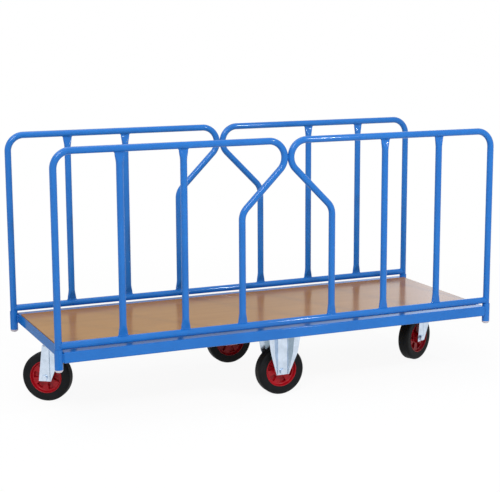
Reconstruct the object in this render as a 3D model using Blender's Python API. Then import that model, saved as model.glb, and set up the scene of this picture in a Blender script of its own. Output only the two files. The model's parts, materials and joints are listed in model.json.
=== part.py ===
"""Order picking cart: a platform on four casters, with a lift-off tube side along each long edge.

Metres, +Z up. The floor is z = 0, X runs along the cart, and the origin is on the floor under the platform's
centre. The casters form a diamond: one fixed on each long edge, one swivelling near each end.
"""
import math

import bmesh
import bpy
from mathutils import Matrix, Vector

# Fits
GAP = 0.0003  # between pieces that touch
LEG_PLAY = 0.0005  # between a leg and its socket, all round
BOLT_PLAY = 0.0004  # between a bolt and its hole, all round

# Tube sides
TUBE_D = 0.0269
TUBE_WALL = 0.0026
BEND_R = 0.066  # centre line of every bend
LEG_SPACING = 1.875  # between the outer legs of a side
SIDE_SPACING = 0.6956  # between the two sides
TOP_TUBE_Z = 1.0390  # centre line of the top tubes
INNER_SPACING = 0.390  # between the inner uprights of a side
DIAGONAL_DEG = 45.0  # of the tube that leads from the nose to the inner upright, below level
BARS_PER_HOOP = 2
BAR_PITCH = 0.252  # from the leg to a bar and on to the next
SQUASH_DEPTH = 0.007  # thickness of a squashed tube end
SQUASH_LENGTH = 0.045
SQUASH_HALFWAY = 0.55  # share of the squash that is reached halfway along it
RAIL_CLEARANCE = 0.0100  # from the platform's top to the lower rail

# Platform
CASTER_HEIGHT = 0.2515  # floor to the platform's underside
ANGLE_HEIGHT = 0.0425
ANGLE_FLANGE = 0.025
ANGLE_T = 0.004
LEDGE_WIDTH = 0.058  # of the side channels' upper flange, beside the deck
DECK_T = 0.022
DECK_RISE = 0.005  # of the deck board above the rim's top
CROSS_SPACING = 0.840  # between the two box-section cross members
CROSS_WIDTH = 0.040
CROSS_WALL = 0.0025
CHANNEL_WIDTH = 0.150
CHANNEL_T = 0.004
SOCKET_WALL = 0.002
SOCKET_DROP = 0.024  # of a socket below the platform's underside
PLUG_DROP = 0.010  # of a plug below its socket
PLUG_TIP_D = 0.020
PLUG_STEM = 0.015  # of a plug up its socket, under the leg

# Wheels
WHEEL_D = 0.200
TYRE_WIDTH = 0.050
TYRE_SHOULDER_R = 0.012
TYRE_BEAD_INSET = 0.003  # of the tyre's foot from its widest place
CENTRE_D = 0.138  # of the wheel centre that carries the tyre
CENTRE_LIP = 0.006
CENTRE_DISH = 0.014  # of the web behind the lip
CENTRE_WEB = 0.012
HUB_D = 0.046
HUB_LENGTH = 0.059
BEARING_D = 0.020
BEARING_LENGTH = 0.0612
AXLE_D = 0.014
AXLE_HEAD_AF = 0.022
AXLE_HEAD_H = 0.009

# Caster forks
FORK_INSIDE = 0.062
FORK_T = 0.004
FORK_FOOT = 0.014  # of a fork leg below the axle
PLATE_T = 0.005
PLATE_LONG = 0.140
PLATE_SHORT = 0.124
FIXED_SPACING = 0.531  # between the two fixed wheels, across the cart
FIXED_TOP_WIDTH = 0.138
FIXED_KNEE_WIDTH = 0.116
FIXED_KNEE_DROP = 0.070  # of the knee below the top plate
FIXED_PANEL_WIDTH = 0.041
FIXED_FOOT_WIDTH = 0.054
FIXED_WING_DEG = 28.0
SWIVEL_SPACING = 1.666  # between the two swivel axes, along the cart
TRAIL = 0.060  # of a swivel wheel behind its axis
SWIVEL_REST_DEG = {"left": 144.3, "right": 207.0}  # way the wheels trail at rest
SWIVEL_LEAD_TOP = -0.025  # front edge of a swivel fork leg, from the swivel axis
SWIVEL_LEAD_FOOT = 0.026  # the same edge at the foot, in front of the axle
SWIVEL_CREASE = 0.022  # of the leg's crease in front of the axle
SWIVEL_TAIL_TOP = 0.008  # of the leg's back edge behind the axle
SWIVEL_TAIL_FOOT = 0.025
SWIVEL_WING_DEG = 10.0
CROWN_D = 0.088
CROWN_T = 0.005
RING_D = 0.072
RING_H = 0.0118
KINGPIN_D = 0.016
KINGPIN_HEAD_D = 0.028
KINGPIN_HEAD_H = 0.007

# Caster bolts
BOLT_D = 0.010
BOLT_AF = 0.016
BOLT_HEAD_H = 0.0064
BOLT_NUT_H = 0.008
BOLT_LONG = 0.105  # spacing along a caster plate's long side
FIXED_BOLT_SHORT = 0.060  # spacing along the short side, inside a fixed fork
SWIVEL_BOLT_SHORT = 0.080

# Facets
TUBE_SIDES = 12
SOCKET_SIDES = 16
WHEEL_SIDES = 28
PIN_SIDES = 12
BEND_STEP_DEG = 22.5
CORNER_STEPS = 2

# Places that follow from the sizes above
TUBE_R = TUBE_D / 2
LEG_X = LEG_SPACING / 2
SIDE_Y = SIDE_SPACING / 2
SQUASH_WIDTH = SQUASH_DEPTH + math.pi * (TUBE_D - SQUASH_DEPTH) / 2
SOCKET_BORE = TUBE_D + 2 * LEG_PLAY
SOCKET_D = SOCKET_BORE + 2 * SOCKET_WALL
PLATFORM_X = LEG_X - SOCKET_D / 2 - GAP
PLATFORM_Y = SIDE_Y + SOCKET_D / 2
PLATFORM_TOP = CASTER_HEIGHT + ANGLE_HEIGHT
DECK_TOP = PLATFORM_TOP + DECK_RISE
DECK_UNDER = DECK_TOP - DECK_T
RAIL_Z = PLATFORM_TOP + RAIL_CLEARANCE + TUBE_R
SOCKET_TOP = RAIL_Z - TUBE_R - GAP
SOCKET_FOOT = CASTER_HEIGHT - SOCKET_DROP
LEG_FOOT = SOCKET_FOOT + PLUG_STEM + GAP
CHANNEL_END_X = PLATFORM_X - ANGLE_FLANGE - GAP - CHANNEL_WIDTH / 2
PLATE_TOP = CASTER_HEIGHT - GAP
PLATE_UNDER = PLATE_TOP - PLATE_T
AXLE_Z = WHEEL_D / 2
CROWN_TOP = PLATE_UNDER - RING_H - 2 * GAP
SWIVEL_X = SWIVEL_SPACING / 2
FIXED_Y = FIXED_SPACING / 2

BLUE = ("blue_paint", (0.035, 0.175, 0.510), 0.30, 0.0)
ZINC = ("zinc_steel", (0.700, 0.740, 0.780), 0.35, 1.0)
RUBBER = ("black_rubber", (0.012, 0.013, 0.015), 0.70, 0.0)
RED = ("red_centre", (0.400, 0.010, 0.018), 0.45, 0.0)
GREY = ("grey_plastic", (0.450, 0.450, 0.460), 0.55, 0.0)
WOOD = ("deck_wood", (0.430, 0.265, 0.135), 0.30, 0.0)


def clear_scene():
    """Removes whatever the scene starts with."""
    for obj in list(bpy.data.objects):
        bpy.data.objects.remove(obj)


def finish_material(finish):
    """The material of a finish, made once."""
    name, colour, roughness, metallic = finish
    known = bpy.data.materials.get(name)
    if known:
        return known
    made = bpy.data.materials.new(name)
    made.use_nodes = True
    shader = made.node_tree.nodes["Principled BSDF"]
    shader.inputs["Base Color"].default_value = (*colour, 1.0)
    shader.inputs["Roughness"].default_value = roughness
    shader.inputs["Metallic"].default_value = metallic
    return made


def mesh_from(bm, name, finish):
    """A mesh of the closed body in bm, with its faces out and its round faces smooth."""
    bmesh.ops.recalc_face_normals(bm, faces=bm.faces)
    mesh = bpy.data.meshes.new(name)
    bm.to_mesh(mesh)
    bm.free()
    mesh.materials.append(finish_material(finish))
    mesh.shade_smooth()
    mesh.set_sharp_from_angle(angle=math.radians(40.0))
    return mesh


def place(name, mesh, parent=None, location=(0, 0, 0), turn_deg=0.0):
    """One named object with that mesh, under a parent if it has one."""
    obj = bpy.data.objects.new(name, mesh)
    bpy.context.scene.collection.objects.link(obj)
    obj.parent = parent
    obj.location = location
    obj.rotation_euler = (0, 0, math.radians(turn_deg))
    return obj


def axis_empty(name, location, parent=None, turn_deg=0.0):
    """An empty on a joint's axis, which the pieces of a moving body hang on."""
    return place(name, None, parent, location, turn_deg)


def combine(body, tool, operation):
    """The body with the tool joined to it or cut out of it, as a new bmesh."""
    pair = []
    for bm in (body, tool):
        bmesh.ops.recalc_face_normals(bm, faces=bm.faces)
        mesh = bpy.data.meshes.new("operand")
        bm.to_mesh(mesh)
        bm.free()
        pair.append(place("operand", mesh))
    modifier = pair[0].modifiers.new("combine", "BOOLEAN")
    modifier.operation = operation
    modifier.object = pair[1]
    result = bmesh.new()
    result.from_object(pair[0], bpy.context.evaluated_depsgraph_get())
    for obj in pair:
        bpy.data.objects.remove(obj)
    return result


def add_box(bm, low, high):
    """Adds a box between two corners."""
    low = Vector(low)
    high = Vector(high)
    verts = bmesh.ops.create_cube(bm, size=1.0)["verts"]
    bmesh.ops.scale(bm, vec=high - low, verts=verts)
    bmesh.ops.translate(bm, vec=(low + high) / 2, verts=verts)


def add_turned(bm, layers, sides, matrix=None, ring=False):
    """Turns layers of (height, diameter) round the local Z axis.

    A third value of True in a layer makes it a hexagon with that distance across its flats. A ring's last
    layer joins its first, and anything else is capped at both ends.
    """
    matrix = matrix or Matrix.Identity(4)
    loops = []
    for height, size, *hexagon in layers:
        loop = []
        for k in range(sides):
            angle = math.tau * k / sides
            radius = size / 2
            if hexagon:
                radius /= math.cos(angle % (math.pi / 3) - math.pi / 6)
            point = Vector((radius * math.cos(angle), radius * math.sin(angle), height))
            loop.append(bm.verts.new(matrix @ point))
        loops.append(loop)
    pairs = list(zip(loops, loops[1:]))
    if ring:
        pairs.append((loops[-1], loops[0]))
    else:
        bm.faces.new(loops[0])
        bm.faces.new(loops[-1])
    for lower, upper in pairs:
        for k in range(sides):
            after = (k + 1) % sides
            bm.faces.new((lower[k], lower[after], upper[after], upper[k]))


def add_prism(bm, outline, low_y, high_y):
    """Adds a prism along Y with an outline of (x, z) points."""
    face = bm.faces.new([bm.verts.new((x, low_y, z)) for x, z in outline])
    moved = bmesh.ops.extrude_face_region(bm, geom=[face])["geom"]
    verts = [item for item in moved if isinstance(item, bmesh.types.BMVert)]
    bmesh.ops.translate(bm, vec=(0, high_y - low_y, 0), verts=verts)


class BentTube:
    """A hollow tube drawn in the local XZ plane as a bending machine makes it, one run or bend at a time."""

    def __init__(self, x, z, heading_deg, squashed=False):
        self.place = Vector((x, 0, z))
        self.heading = math.radians(heading_deg)
        self.rings = []
        self.add_ring(1.0 if squashed else 0.0)

    def along(self):
        return Vector((math.cos(self.heading), 0, math.sin(self.heading)))

    def add_ring(self, squash):
        """Adds a ring of the section that is squash of the way from round to squashed flat."""
        width = TUBE_D + squash * (SQUASH_WIDTH - TUBE_D)
        depth = TUBE_D + squash * (SQUASH_DEPTH - TUBE_D)
        across = Vector((-math.sin(self.heading), 0, math.cos(self.heading)))
        self.rings.append((self.place.copy(), across, width, depth))

    def run(self, length, squash=0.0):
        self.place += self.along() * length
        self.add_ring(squash)

    def squash(self):
        """Runs on to a squashed end, through a ring halfway that eases the change."""
        self.run(SQUASH_LENGTH / 2, SQUASH_HALFWAY)
        self.run(SQUASH_LENGTH / 2, 1.0)

    def unsquash(self):
        """Runs from a squashed end back to the round tube."""
        self.run(SQUASH_LENGTH / 2, SQUASH_HALFWAY)
        self.run(SQUASH_LENGTH / 2, 0.0)

    def bend(self, degrees):
        """Bends to the left of the heading, seen along +Y with X to the right, or right if negative."""
        side = math.copysign(1.0, degrees)
        steps = math.ceil(abs(degrees) / BEND_STEP_DEG)
        centre = self.place + side * BEND_R * Vector((-math.sin(self.heading), 0, math.cos(self.heading)))
        for _ in range(steps):
            self.heading += math.radians(degrees) / steps
            outward = Vector((math.sin(self.heading), 0, -math.cos(self.heading)))
            self.place = centre + side * BEND_R * outward
            self.add_ring(0.0)

    def body(self):
        """The tube as a bmesh: an outer and an inner skin, joined round both open ends."""
        bm = bmesh.new()
        skins = []
        for inset in (0.0, TUBE_WALL):
            skin = []
            for centre, across, width, depth in self.rings:
                loop = []
                for k in range(TUBE_SIDES):
                    angle = math.tau * k / TUBE_SIDES
                    offset = across * (width / 2 - inset) * math.cos(angle)
                    offset.y += (depth / 2 - inset) * math.sin(angle)
                    loop.append(bm.verts.new(centre + offset))
                skin.append(loop)
            skins.append(skin)
        outer, inner = skins
        pairs = list(zip(outer, outer[1:])) + list(zip(inner, inner[1:]))
        pairs += [(outer[0], inner[0]), (outer[-1], inner[-1])]
        for lower, upper in pairs:
            for k in range(TUBE_SIDES):
                after = (k + 1) % TUBE_SIDES
                bm.faces.new((lower[k], lower[after], upper[after], upper[k]))
        return bm


def hoop_body():
    """The hoop at the +X end of a side: leg, top tube, nose, diagonal and inner upright in one bent tube."""
    turn = math.radians(DIAGONAL_DEG)
    nose_x = TUBE_R + GAP + BEND_R
    nose_end = Vector((nose_x - BEND_R * math.sin(turn), 0, TOP_TUBE_Z - BEND_R - BEND_R * math.cos(turn)))
    knee_cut = BEND_R * math.tan((math.pi / 2 - turn) / 2)
    diagonal = (INNER_SPACING / 2 - nose_end.x) / math.cos(turn) - knee_cut
    tube = BentTube(LEG_X, LEG_FOOT, 90.0)
    tube.run(TOP_TUBE_Z - BEND_R - LEG_FOOT)
    tube.bend(90.0)
    tube.run(LEG_X - BEND_R - nose_x)
    tube.bend(180.0 - DIAGONAL_DEG)
    tube.run(diagonal)
    tube.bend(DIAGONAL_DEG - 90.0)
    tube.run(tube.place.z - (RAIL_Z + TUBE_R + GAP) - SQUASH_LENGTH)
    tube.squash()
    return tube.body()


def bar_body():
    """An upright bar, squashed where it meets the lower rail and the top tube."""
    foot = RAIL_Z + TUBE_R + GAP
    head = TOP_TUBE_Z - TUBE_R - GAP
    tube = BentTube(0.0, foot, 90.0, squashed=True)
    tube.unsquash()
    tube.run(head - foot - 2 * SQUASH_LENGTH)
    tube.squash()
    return tube.body()


def rail_body():
    """The lower rail, with both ends cut to sit round the legs."""
    tube = BentTube(-LEG_X, RAIL_Z, 0.0)
    tube.run(LEG_SPACING)
    cutter = bmesh.new()
    cut_d = TUBE_D + 2 * GAP
    for x in (-LEG_X, LEG_X):
        layers = [(RAIL_Z - TUBE_D, cut_d), (RAIL_Z + TUBE_D, cut_d)]
        add_turned(cutter, layers, TUBE_SIDES, Matrix.Translation((x, 0, 0)))
    return combine(tube.body(), cutter, "DIFFERENCE")


def build_sides():
    """The two lift-off sides, one on each long edge."""
    hoop = mesh_from(hoop_body(), "hoop", BLUE)
    bar = mesh_from(bar_body(), "bar", BLUE)
    rail = mesh_from(rail_body(), "lower_rail", BLUE)
    bar_x = [LEG_X - BAR_PITCH * (k + 1) for k in range(BARS_PER_HOOP)]
    bar_places = sorted(bar_x + [-x for x in bar_x])
    for side, y in (("front", -SIDE_Y), ("rear", SIDE_Y)):
        seat = axis_empty(f"side_{side}_lift", (0, y, 0))
        place(f"lower_rail_{side}", rail, seat)
        place(f"hoop_{side}_right", hoop, seat)
        place(f"hoop_{side}_left", hoop, seat, turn_deg=180.0)
        for number, x in enumerate(bar_places, start=1):
            place(f"bar_{side}_{number}", bar, seat, (x, 0, 0))


def rim_body(half_length, ledge):
    """A rim member along X with its outer face at y = 0, its flange towards +Y and its ends mitred.

    It is an angle, or a channel where it has a ledge: an upper flange that ends square against the end angles.
    """
    bm = bmesh.new()
    ledge_under = PLATFORM_TOP - ANGLE_T
    outline = [
        (0.0, CASTER_HEIGHT),
        (ANGLE_FLANGE, CASTER_HEIGHT),
        (ANGLE_FLANGE, CASTER_HEIGHT + ANGLE_T),
        (ANGLE_T, CASTER_HEIGHT + ANGLE_T),
        (ANGLE_T, ledge_under),
        (ANGLE_T, PLATFORM_TOP),
        (0.0, PLATFORM_TOP),
    ]
    verts = [bm.verts.new((-1.0, y, z)) for y, z in outline]
    bm.faces.new(verts)
    if ledge:
        corners = [(LEDGE_WIDTH, ledge_under), (LEDGE_WIDTH, PLATFORM_TOP)]
        tips = [bm.verts.new((-1.0, y, z)) for y, z in corners]
        bm.faces.new([verts[4], *tips, verts[5]])
    moved = bmesh.ops.extrude_face_region(bm, geom=bm.faces[:])["geom"]
    far = [item for item in moved if isinstance(item, bmesh.types.BMVert)]
    bmesh.ops.translate(bm, vec=(2.0, 0, 0), verts=far)
    for vert in bm.verts:
        on_ledge = vert.co.y > ANGLE_T and vert.co.z > ledge_under - GAP
        vert.co.x *= half_length - GAP - (ANGLE_T if on_ledge else vert.co.y)
    return bm


def bolt_pattern(x, y, along, across):
    """The (x, y) of four caster bolts round a point, spaced along X and Y."""
    places = []
    for turn_x in (-1, 1):
        for turn_y in (-1, 1):
            places.append((x + turn_x * along / 2, y + turn_y * across / 2))
    return places


def bolt_places():
    """The (x, y) of every caster bolt on the cart."""
    places = []
    for y in (-FIXED_Y, FIXED_Y):
        places += bolt_pattern(0.0, y, BOLT_LONG, FIXED_BOLT_SHORT)
    for x in (-SWIVEL_X, SWIVEL_X):
        places += bolt_pattern(x, 0.0, SWIVEL_BOLT_SHORT, BOLT_LONG)
    return places


def bolts_body(places):
    """Caster bolts, to be joined to their plate: head below it, nut above the channel's web."""
    mid_plate = (PLATE_UNDER + PLATE_TOP) / 2
    nut_z = CASTER_HEIGHT + CHANNEL_T + GAP
    layers = [
        (PLATE_UNDER - BOLT_HEAD_H, BOLT_AF, True),
        (mid_plate, BOLT_AF, True),
        (mid_plate, BOLT_D),
        (nut_z, BOLT_D),
        (nut_z, BOLT_AF, True),
        (nut_z + BOLT_NUT_H, BOLT_AF, True),
    ]
    bm = bmesh.new()
    for x, y in places:
        add_turned(bm, layers, PIN_SIDES, Matrix.Translation((x, y, 0)))
    return bm


def channel_body(centre_x):
    """A channel across the platform at centre_x, open upwards, with the caster bolt holes in its web."""
    half = CHANNEL_WIDTH / 2
    top = DECK_UNDER - GAP
    web = CASTER_HEIGHT + CHANNEL_T
    outline = [
        (centre_x - half, CASTER_HEIGHT),
        (centre_x + half, CASTER_HEIGHT),
        (centre_x + half, top),
        (centre_x + half - CHANNEL_T, top),
        (centre_x + half - CHANNEL_T, web),
        (centre_x - half + CHANNEL_T, web),
        (centre_x - half + CHANNEL_T, top),
        (centre_x - half, top),
    ]
    reach = PLATFORM_Y - ANGLE_FLANGE - GAP
    bm = bmesh.new()
    add_prism(bm, outline, -reach, reach)
    holes = bmesh.new()
    hole_d = BOLT_D + 2 * BOLT_PLAY
    layers = [(CASTER_HEIGHT - CHANNEL_T, hole_d), (web + CHANNEL_T, hole_d)]
    for x, y in bolt_places():
        if abs(x - centre_x) < half:
            add_turned(holes, layers, PIN_SIDES, Matrix.Translation((x, y, 0)))
    return combine(bm, holes, "DIFFERENCE")


def deck_body():
    """The deck board, inside the rim and a little proud of it."""
    reach_x = PLATFORM_X - ANGLE_T - GAP
    reach_y = PLATFORM_Y - LEDGE_WIDTH - GAP
    bm = bmesh.new()
    add_box(bm, (-reach_x, -reach_y, DECK_UNDER), (reach_x, reach_y, DECK_TOP))
    return bm


def cross_member_body(centre_x):
    """A box-section cross member that lies on the side channels' lower flanges, under the deck."""
    low_z = CASTER_HEIGHT + ANGLE_T + GAP
    high_z = DECK_UNDER - GAP
    reach = PLATFORM_Y - ANGLE_T - GAP
    half = CROSS_WIDTH / 2
    bm = bmesh.new()
    add_box(bm, (centre_x - half, -reach, low_z), (centre_x + half, reach, high_z))
    bore = bmesh.new()
    inner = half - CROSS_WALL
    past = reach + CROSS_WIDTH
    low = (centre_x - inner, -past, low_z + CROSS_WALL)
    add_box(bore, low, (centre_x + inner, past, high_z - CROSS_WALL))
    return combine(bm, bore, "DIFFERENCE")


def socket_body():
    """A corner socket: a short upright tube that a leg stands in."""
    layers = [
        (SOCKET_FOOT, SOCKET_BORE),
        (SOCKET_FOOT, SOCKET_D),
        (SOCKET_TOP, SOCKET_D),
        (SOCKET_TOP, SOCKET_BORE),
    ]
    bm = bmesh.new()
    add_turned(bm, layers, SOCKET_SIDES, ring=True)
    return bm


def plug_body():
    """The plug in a socket's foot: a tapered tip below, and a stem up the bore for the leg to stand on."""
    seat = SOCKET_FOOT - GAP
    stem_d = SOCKET_BORE - 2 * GAP
    layers = [
        (seat - PLUG_DROP, PLUG_TIP_D),
        (seat - PLUG_DROP / 2, (2 * SOCKET_D + PLUG_TIP_D) / 3),
        (seat, SOCKET_D),
        (seat, stem_d),
        (SOCKET_FOOT + PLUG_STEM, stem_d),
    ]
    bm = bmesh.new()
    add_turned(bm, layers, SOCKET_SIDES)
    return bm


def build_platform():
    """Rim channels and angles, sockets and their plugs, cross members and deck."""
    side_channel = mesh_from(rim_body(PLATFORM_X, True), "side_channel", BLUE)
    end_angle = mesh_from(rim_body(PLATFORM_Y, False), "end_angle", BLUE)
    place("side_channel_front", side_channel, None, (0, -PLATFORM_Y, 0))
    place("side_channel_rear", side_channel, None, (0, PLATFORM_Y, 0), 180.0)
    place("end_angle_left", end_angle, None, (-PLATFORM_X, 0, 0), -90.0)
    place("end_angle_right", end_angle, None, (PLATFORM_X, 0, 0), 90.0)
    socket = mesh_from(socket_body(), "corner_socket", BLUE)
    plug = mesh_from(plug_body(), "socket_plug", GREY)
    for side, y in (("front", -SIDE_Y), ("rear", SIDE_Y)):
        for end, x in (("left", -LEG_X), ("right", LEG_X)):
            place(f"corner_socket_{side}_{end}", socket, None, (x, y, 0))
            place(f"socket_plug_{side}_{end}", plug, None, (x, y, 0))
    for where, x in (("left", -CHANNEL_END_X), ("centre", 0.0), ("right", CHANNEL_END_X)):
        place(f"caster_channel_{where}", mesh_from(channel_body(x), "caster_channel", BLUE))
    for where, x in (("left", -CROSS_SPACING / 2), ("right", CROSS_SPACING / 2)):
        place(f"cross_member_{where}", mesh_from(cross_member_body(x), "cross_member", BLUE))
    place("deck_board", mesh_from(deck_body(), "deck_board", WOOD))


def tyre_layers():
    """The tyre's section as (place along the axle, diameter), from one foot round the tread to the other."""
    half = TYRE_WIDTH / 2
    foot_d = CENTRE_D + 2 * GAP
    right = []
    for step in range(CORNER_STEPS + 1):
        angle = math.pi / 2 * step / CORNER_STEPS
        out = half - TYRE_SHOULDER_R + TYRE_SHOULDER_R * math.sin(angle)
        right.append((out, WHEEL_D - 2 * TYRE_SHOULDER_R * (1 - math.cos(angle))))
    right.append((half - TYRE_BEAD_INSET, foot_d))
    left = [(-out, size) for out, size in reversed(right)]
    return left + right


def centre_layers():
    """The wheel centre's section: lipped rim, dished web, hub and bore."""
    bore_d = BEARING_D + 2 * GAP
    lip = TYRE_WIDTH / 2 - TYRE_BEAD_INSET
    web = CENTRE_WEB / 2
    right = [
        (lip, CENTRE_D),
        (lip, CENTRE_D - 2 * CENTRE_LIP),
        (web, CENTRE_D - 2 * CENTRE_DISH),
        (web, HUB_D + CENTRE_LIP),
        (HUB_LENGTH / 2, HUB_D),
        (HUB_LENGTH / 2, bore_d),
    ]
    left = [(-out, size) for out, size in reversed(right)]
    return left + right


def wheel_meshes():
    """The three pieces of a wheel, turned round the local Y axis."""
    axle_way = Matrix.Rotation(-math.pi / 2, 4, "X")
    half = BEARING_LENGTH / 2
    pin_d = AXLE_D + 2 * GAP
    sleeve = [(-half, pin_d), (-half, BEARING_D), (half, BEARING_D), (half, pin_d)]
    meshes = []
    for name, layers, sides, finish in (
        ("tyre", tyre_layers(), WHEEL_SIDES, RUBBER),
        ("wheel_centre", centre_layers(), WHEEL_SIDES, RED),
        ("bearing", sleeve, PIN_SIDES, ZINC),
    ):
        bm = bmesh.new()
        add_turned(bm, layers, sides, axle_way, ring=True)
        meshes.append((name, mesh_from(bm, name, finish)))
    return meshes


def axle_body():
    """An axle bolt along Y, with a hexagon head at one end and its nut, turned on tight, at the other."""
    seat = FORK_INSIDE / 2 + FORK_T + GAP
    layers = [
        (-seat - AXLE_HEAD_H, AXLE_HEAD_AF, True),
        (-seat, AXLE_HEAD_AF, True),
        (-seat, AXLE_D),
        (seat, AXLE_D),
        (seat, AXLE_HEAD_AF, True),
        (seat + AXLE_HEAD_H, AXLE_HEAD_AF, True),
    ]
    bm = bmesh.new()
    add_turned(bm, layers, PIN_SIDES, Matrix.Rotation(-math.pi / 2, 4, "X"))
    return bm


def axle_hole(x):
    """A cutter for the axle's holes through both legs of a fork."""
    bm = bmesh.new()
    reach = FORK_INSIDE
    way = Matrix.Translation((x, 0, AXLE_Z)) @ Matrix.Rotation(-math.pi / 2, 4, "X")
    add_turned(bm, [(-reach, AXLE_D + 2 * GAP), (reach, AXLE_D + 2 * GAP)], PIN_SIDES, way)
    return bm


def fork_leg(side, rows, first_panel, last_panel, wing_deg):
    """A pressed fork leg on one side of the wheel: a flat panel, with wings that flare away from the wheel.

    rows are (z, places along the fork). The places from first_panel to last_panel lie in the panel.
    """
    bm = bmesh.new()
    flare = math.tan(math.radians(wing_deg))
    grid = []
    for z, places in rows:
        loop = []
        for x in places:
            out = max(places[first_panel] - x, x - places[last_panel], 0.0)
            loop.append(bm.verts.new((x, side * (FORK_INSIDE / 2 + out * flare), z)))
        grid.append(loop)
    faces = []
    for upper, lower in zip(grid, grid[1:]):
        for k in range(len(upper) - 1):
            faces.append(bm.faces.new((upper[k], upper[k + 1], lower[k + 1], lower[k])))
    moved = bmesh.ops.extrude_face_region(bm, geom=faces)["geom"]
    verts = [item for item in moved if isinstance(item, bmesh.types.BMVert)]
    bmesh.ops.translate(bm, vec=(0, side * FORK_T, 0), verts=verts)
    return bm


def fixed_fork_body():
    """A fixed caster's bracket with its bolts: a top plate and two creased side plates round the wheel."""
    foot_z = AXLE_Z - FORK_FOOT
    panel = FIXED_PANEL_WIDTH / 2
    rows = []
    for z, width in (
        (PLATE_UNDER + PLATE_T / 2, FIXED_TOP_WIDTH),
        (PLATE_UNDER - FIXED_KNEE_DROP, FIXED_KNEE_WIDTH),
        (foot_z, FIXED_FOOT_WIDTH),
    ):
        rows.append((z, (-width / 2, -panel, panel, width / 2)))
    body = bmesh.new()
    half_x = PLATE_LONG / 2
    half_y = PLATE_SHORT / 2
    add_box(body, (-half_x, -half_y, PLATE_UNDER), (half_x, half_y, PLATE_TOP))
    for side in (-1, 1):
        body = combine(body, fork_leg(side, rows, 1, 2, FIXED_WING_DEG), "UNION")
    body = combine(body, axle_hole(0.0), "DIFFERENCE")
    return combine(body, bolts_body(bolt_pattern(0.0, 0.0, BOLT_LONG, FIXED_BOLT_SHORT)), "UNION")


def swivel_fork_body():
    """A swivel caster's fork about its swivel axis, with the wheel trailing towards local +X."""
    top_z = CROWN_TOP - CROWN_T / 2
    foot_z = AXLE_Z - FORK_FOOT
    rows = [
        (top_z, (SWIVEL_LEAD_TOP, TRAIL - SWIVEL_CREASE, TRAIL + SWIVEL_TAIL_TOP)),
        (foot_z, (TRAIL - SWIVEL_LEAD_FOOT, TRAIL - SWIVEL_CREASE, TRAIL + SWIVEL_TAIL_FOOT)),
    ]
    body = bmesh.new()
    crown = [(CROWN_TOP - CROWN_T, CROWN_D), (CROWN_TOP, CROWN_D)]
    add_turned(body, crown, WHEEL_SIDES)
    bridge = bmesh.new()
    half = FORK_INSIDE / 2 + FORK_T / 2
    add_box(bridge, (0.0, -half, CROWN_TOP - CROWN_T), (TRAIL + SWIVEL_TAIL_TOP, half, CROWN_TOP))
    body = combine(body, bridge, "UNION")
    for side in (-1, 1):
        body = combine(body, fork_leg(side, rows, 1, 2, SWIVEL_WING_DEG), "UNION")
    body = combine(body, axle_hole(TRAIL), "DIFFERENCE")
    pin_hole = bmesh.new()
    pin_d = KINGPIN_D + 2 * GAP
    add_turned(pin_hole, [(CROWN_TOP - 2 * CROWN_T, pin_d), (CROWN_TOP + CROWN_T, pin_d)], PIN_SIDES)
    return combine(body, pin_hole, "DIFFERENCE")


def swivel_plate_body():
    """A swivel caster's top plate with its bolts, about its swivel axis, and a hole for the kingpin."""
    body = bmesh.new()
    half_x = PLATE_SHORT / 2
    half_y = PLATE_LONG / 2
    add_box(body, (-half_x, -half_y, PLATE_UNDER), (half_x, half_y, PLATE_TOP))
    hole = bmesh.new()
    pin_d = KINGPIN_D + 2 * GAP
    add_turned(hole, [(PLATE_UNDER - PLATE_T, pin_d), (PLATE_TOP + PLATE_T, pin_d)], PIN_SIDES)
    body = combine(body, hole, "DIFFERENCE")
    return combine(body, bolts_body(bolt_pattern(0.0, 0.0, SWIVEL_BOLT_SHORT, BOLT_LONG)), "UNION")


def kingpin_body():
    """The kingpin, flush with the top plate above and headed under the fork's crown."""
    head_top = CROWN_TOP - CROWN_T - GAP
    layers = [
        (head_top - KINGPIN_HEAD_H, KINGPIN_HEAD_D),
        (head_top, KINGPIN_HEAD_D),
        (head_top, KINGPIN_D),
        (PLATE_TOP, KINGPIN_D),
    ]
    bm = bmesh.new()
    add_turned(bm, layers, PIN_SIDES)
    return bm


def swivel_ring_body():
    """The bearing ring between the top plate and the crown."""
    low_z = CROWN_TOP + GAP
    high_z = PLATE_UNDER - GAP
    bore_d = KINGPIN_D + 2 * GAP
    layers = [(low_z, bore_d), (low_z, RING_D), (high_z, RING_D), (high_z, bore_d)]
    bm = bmesh.new()
    add_turned(bm, layers, PIN_SIDES * 2, ring=True)
    return bm


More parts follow.
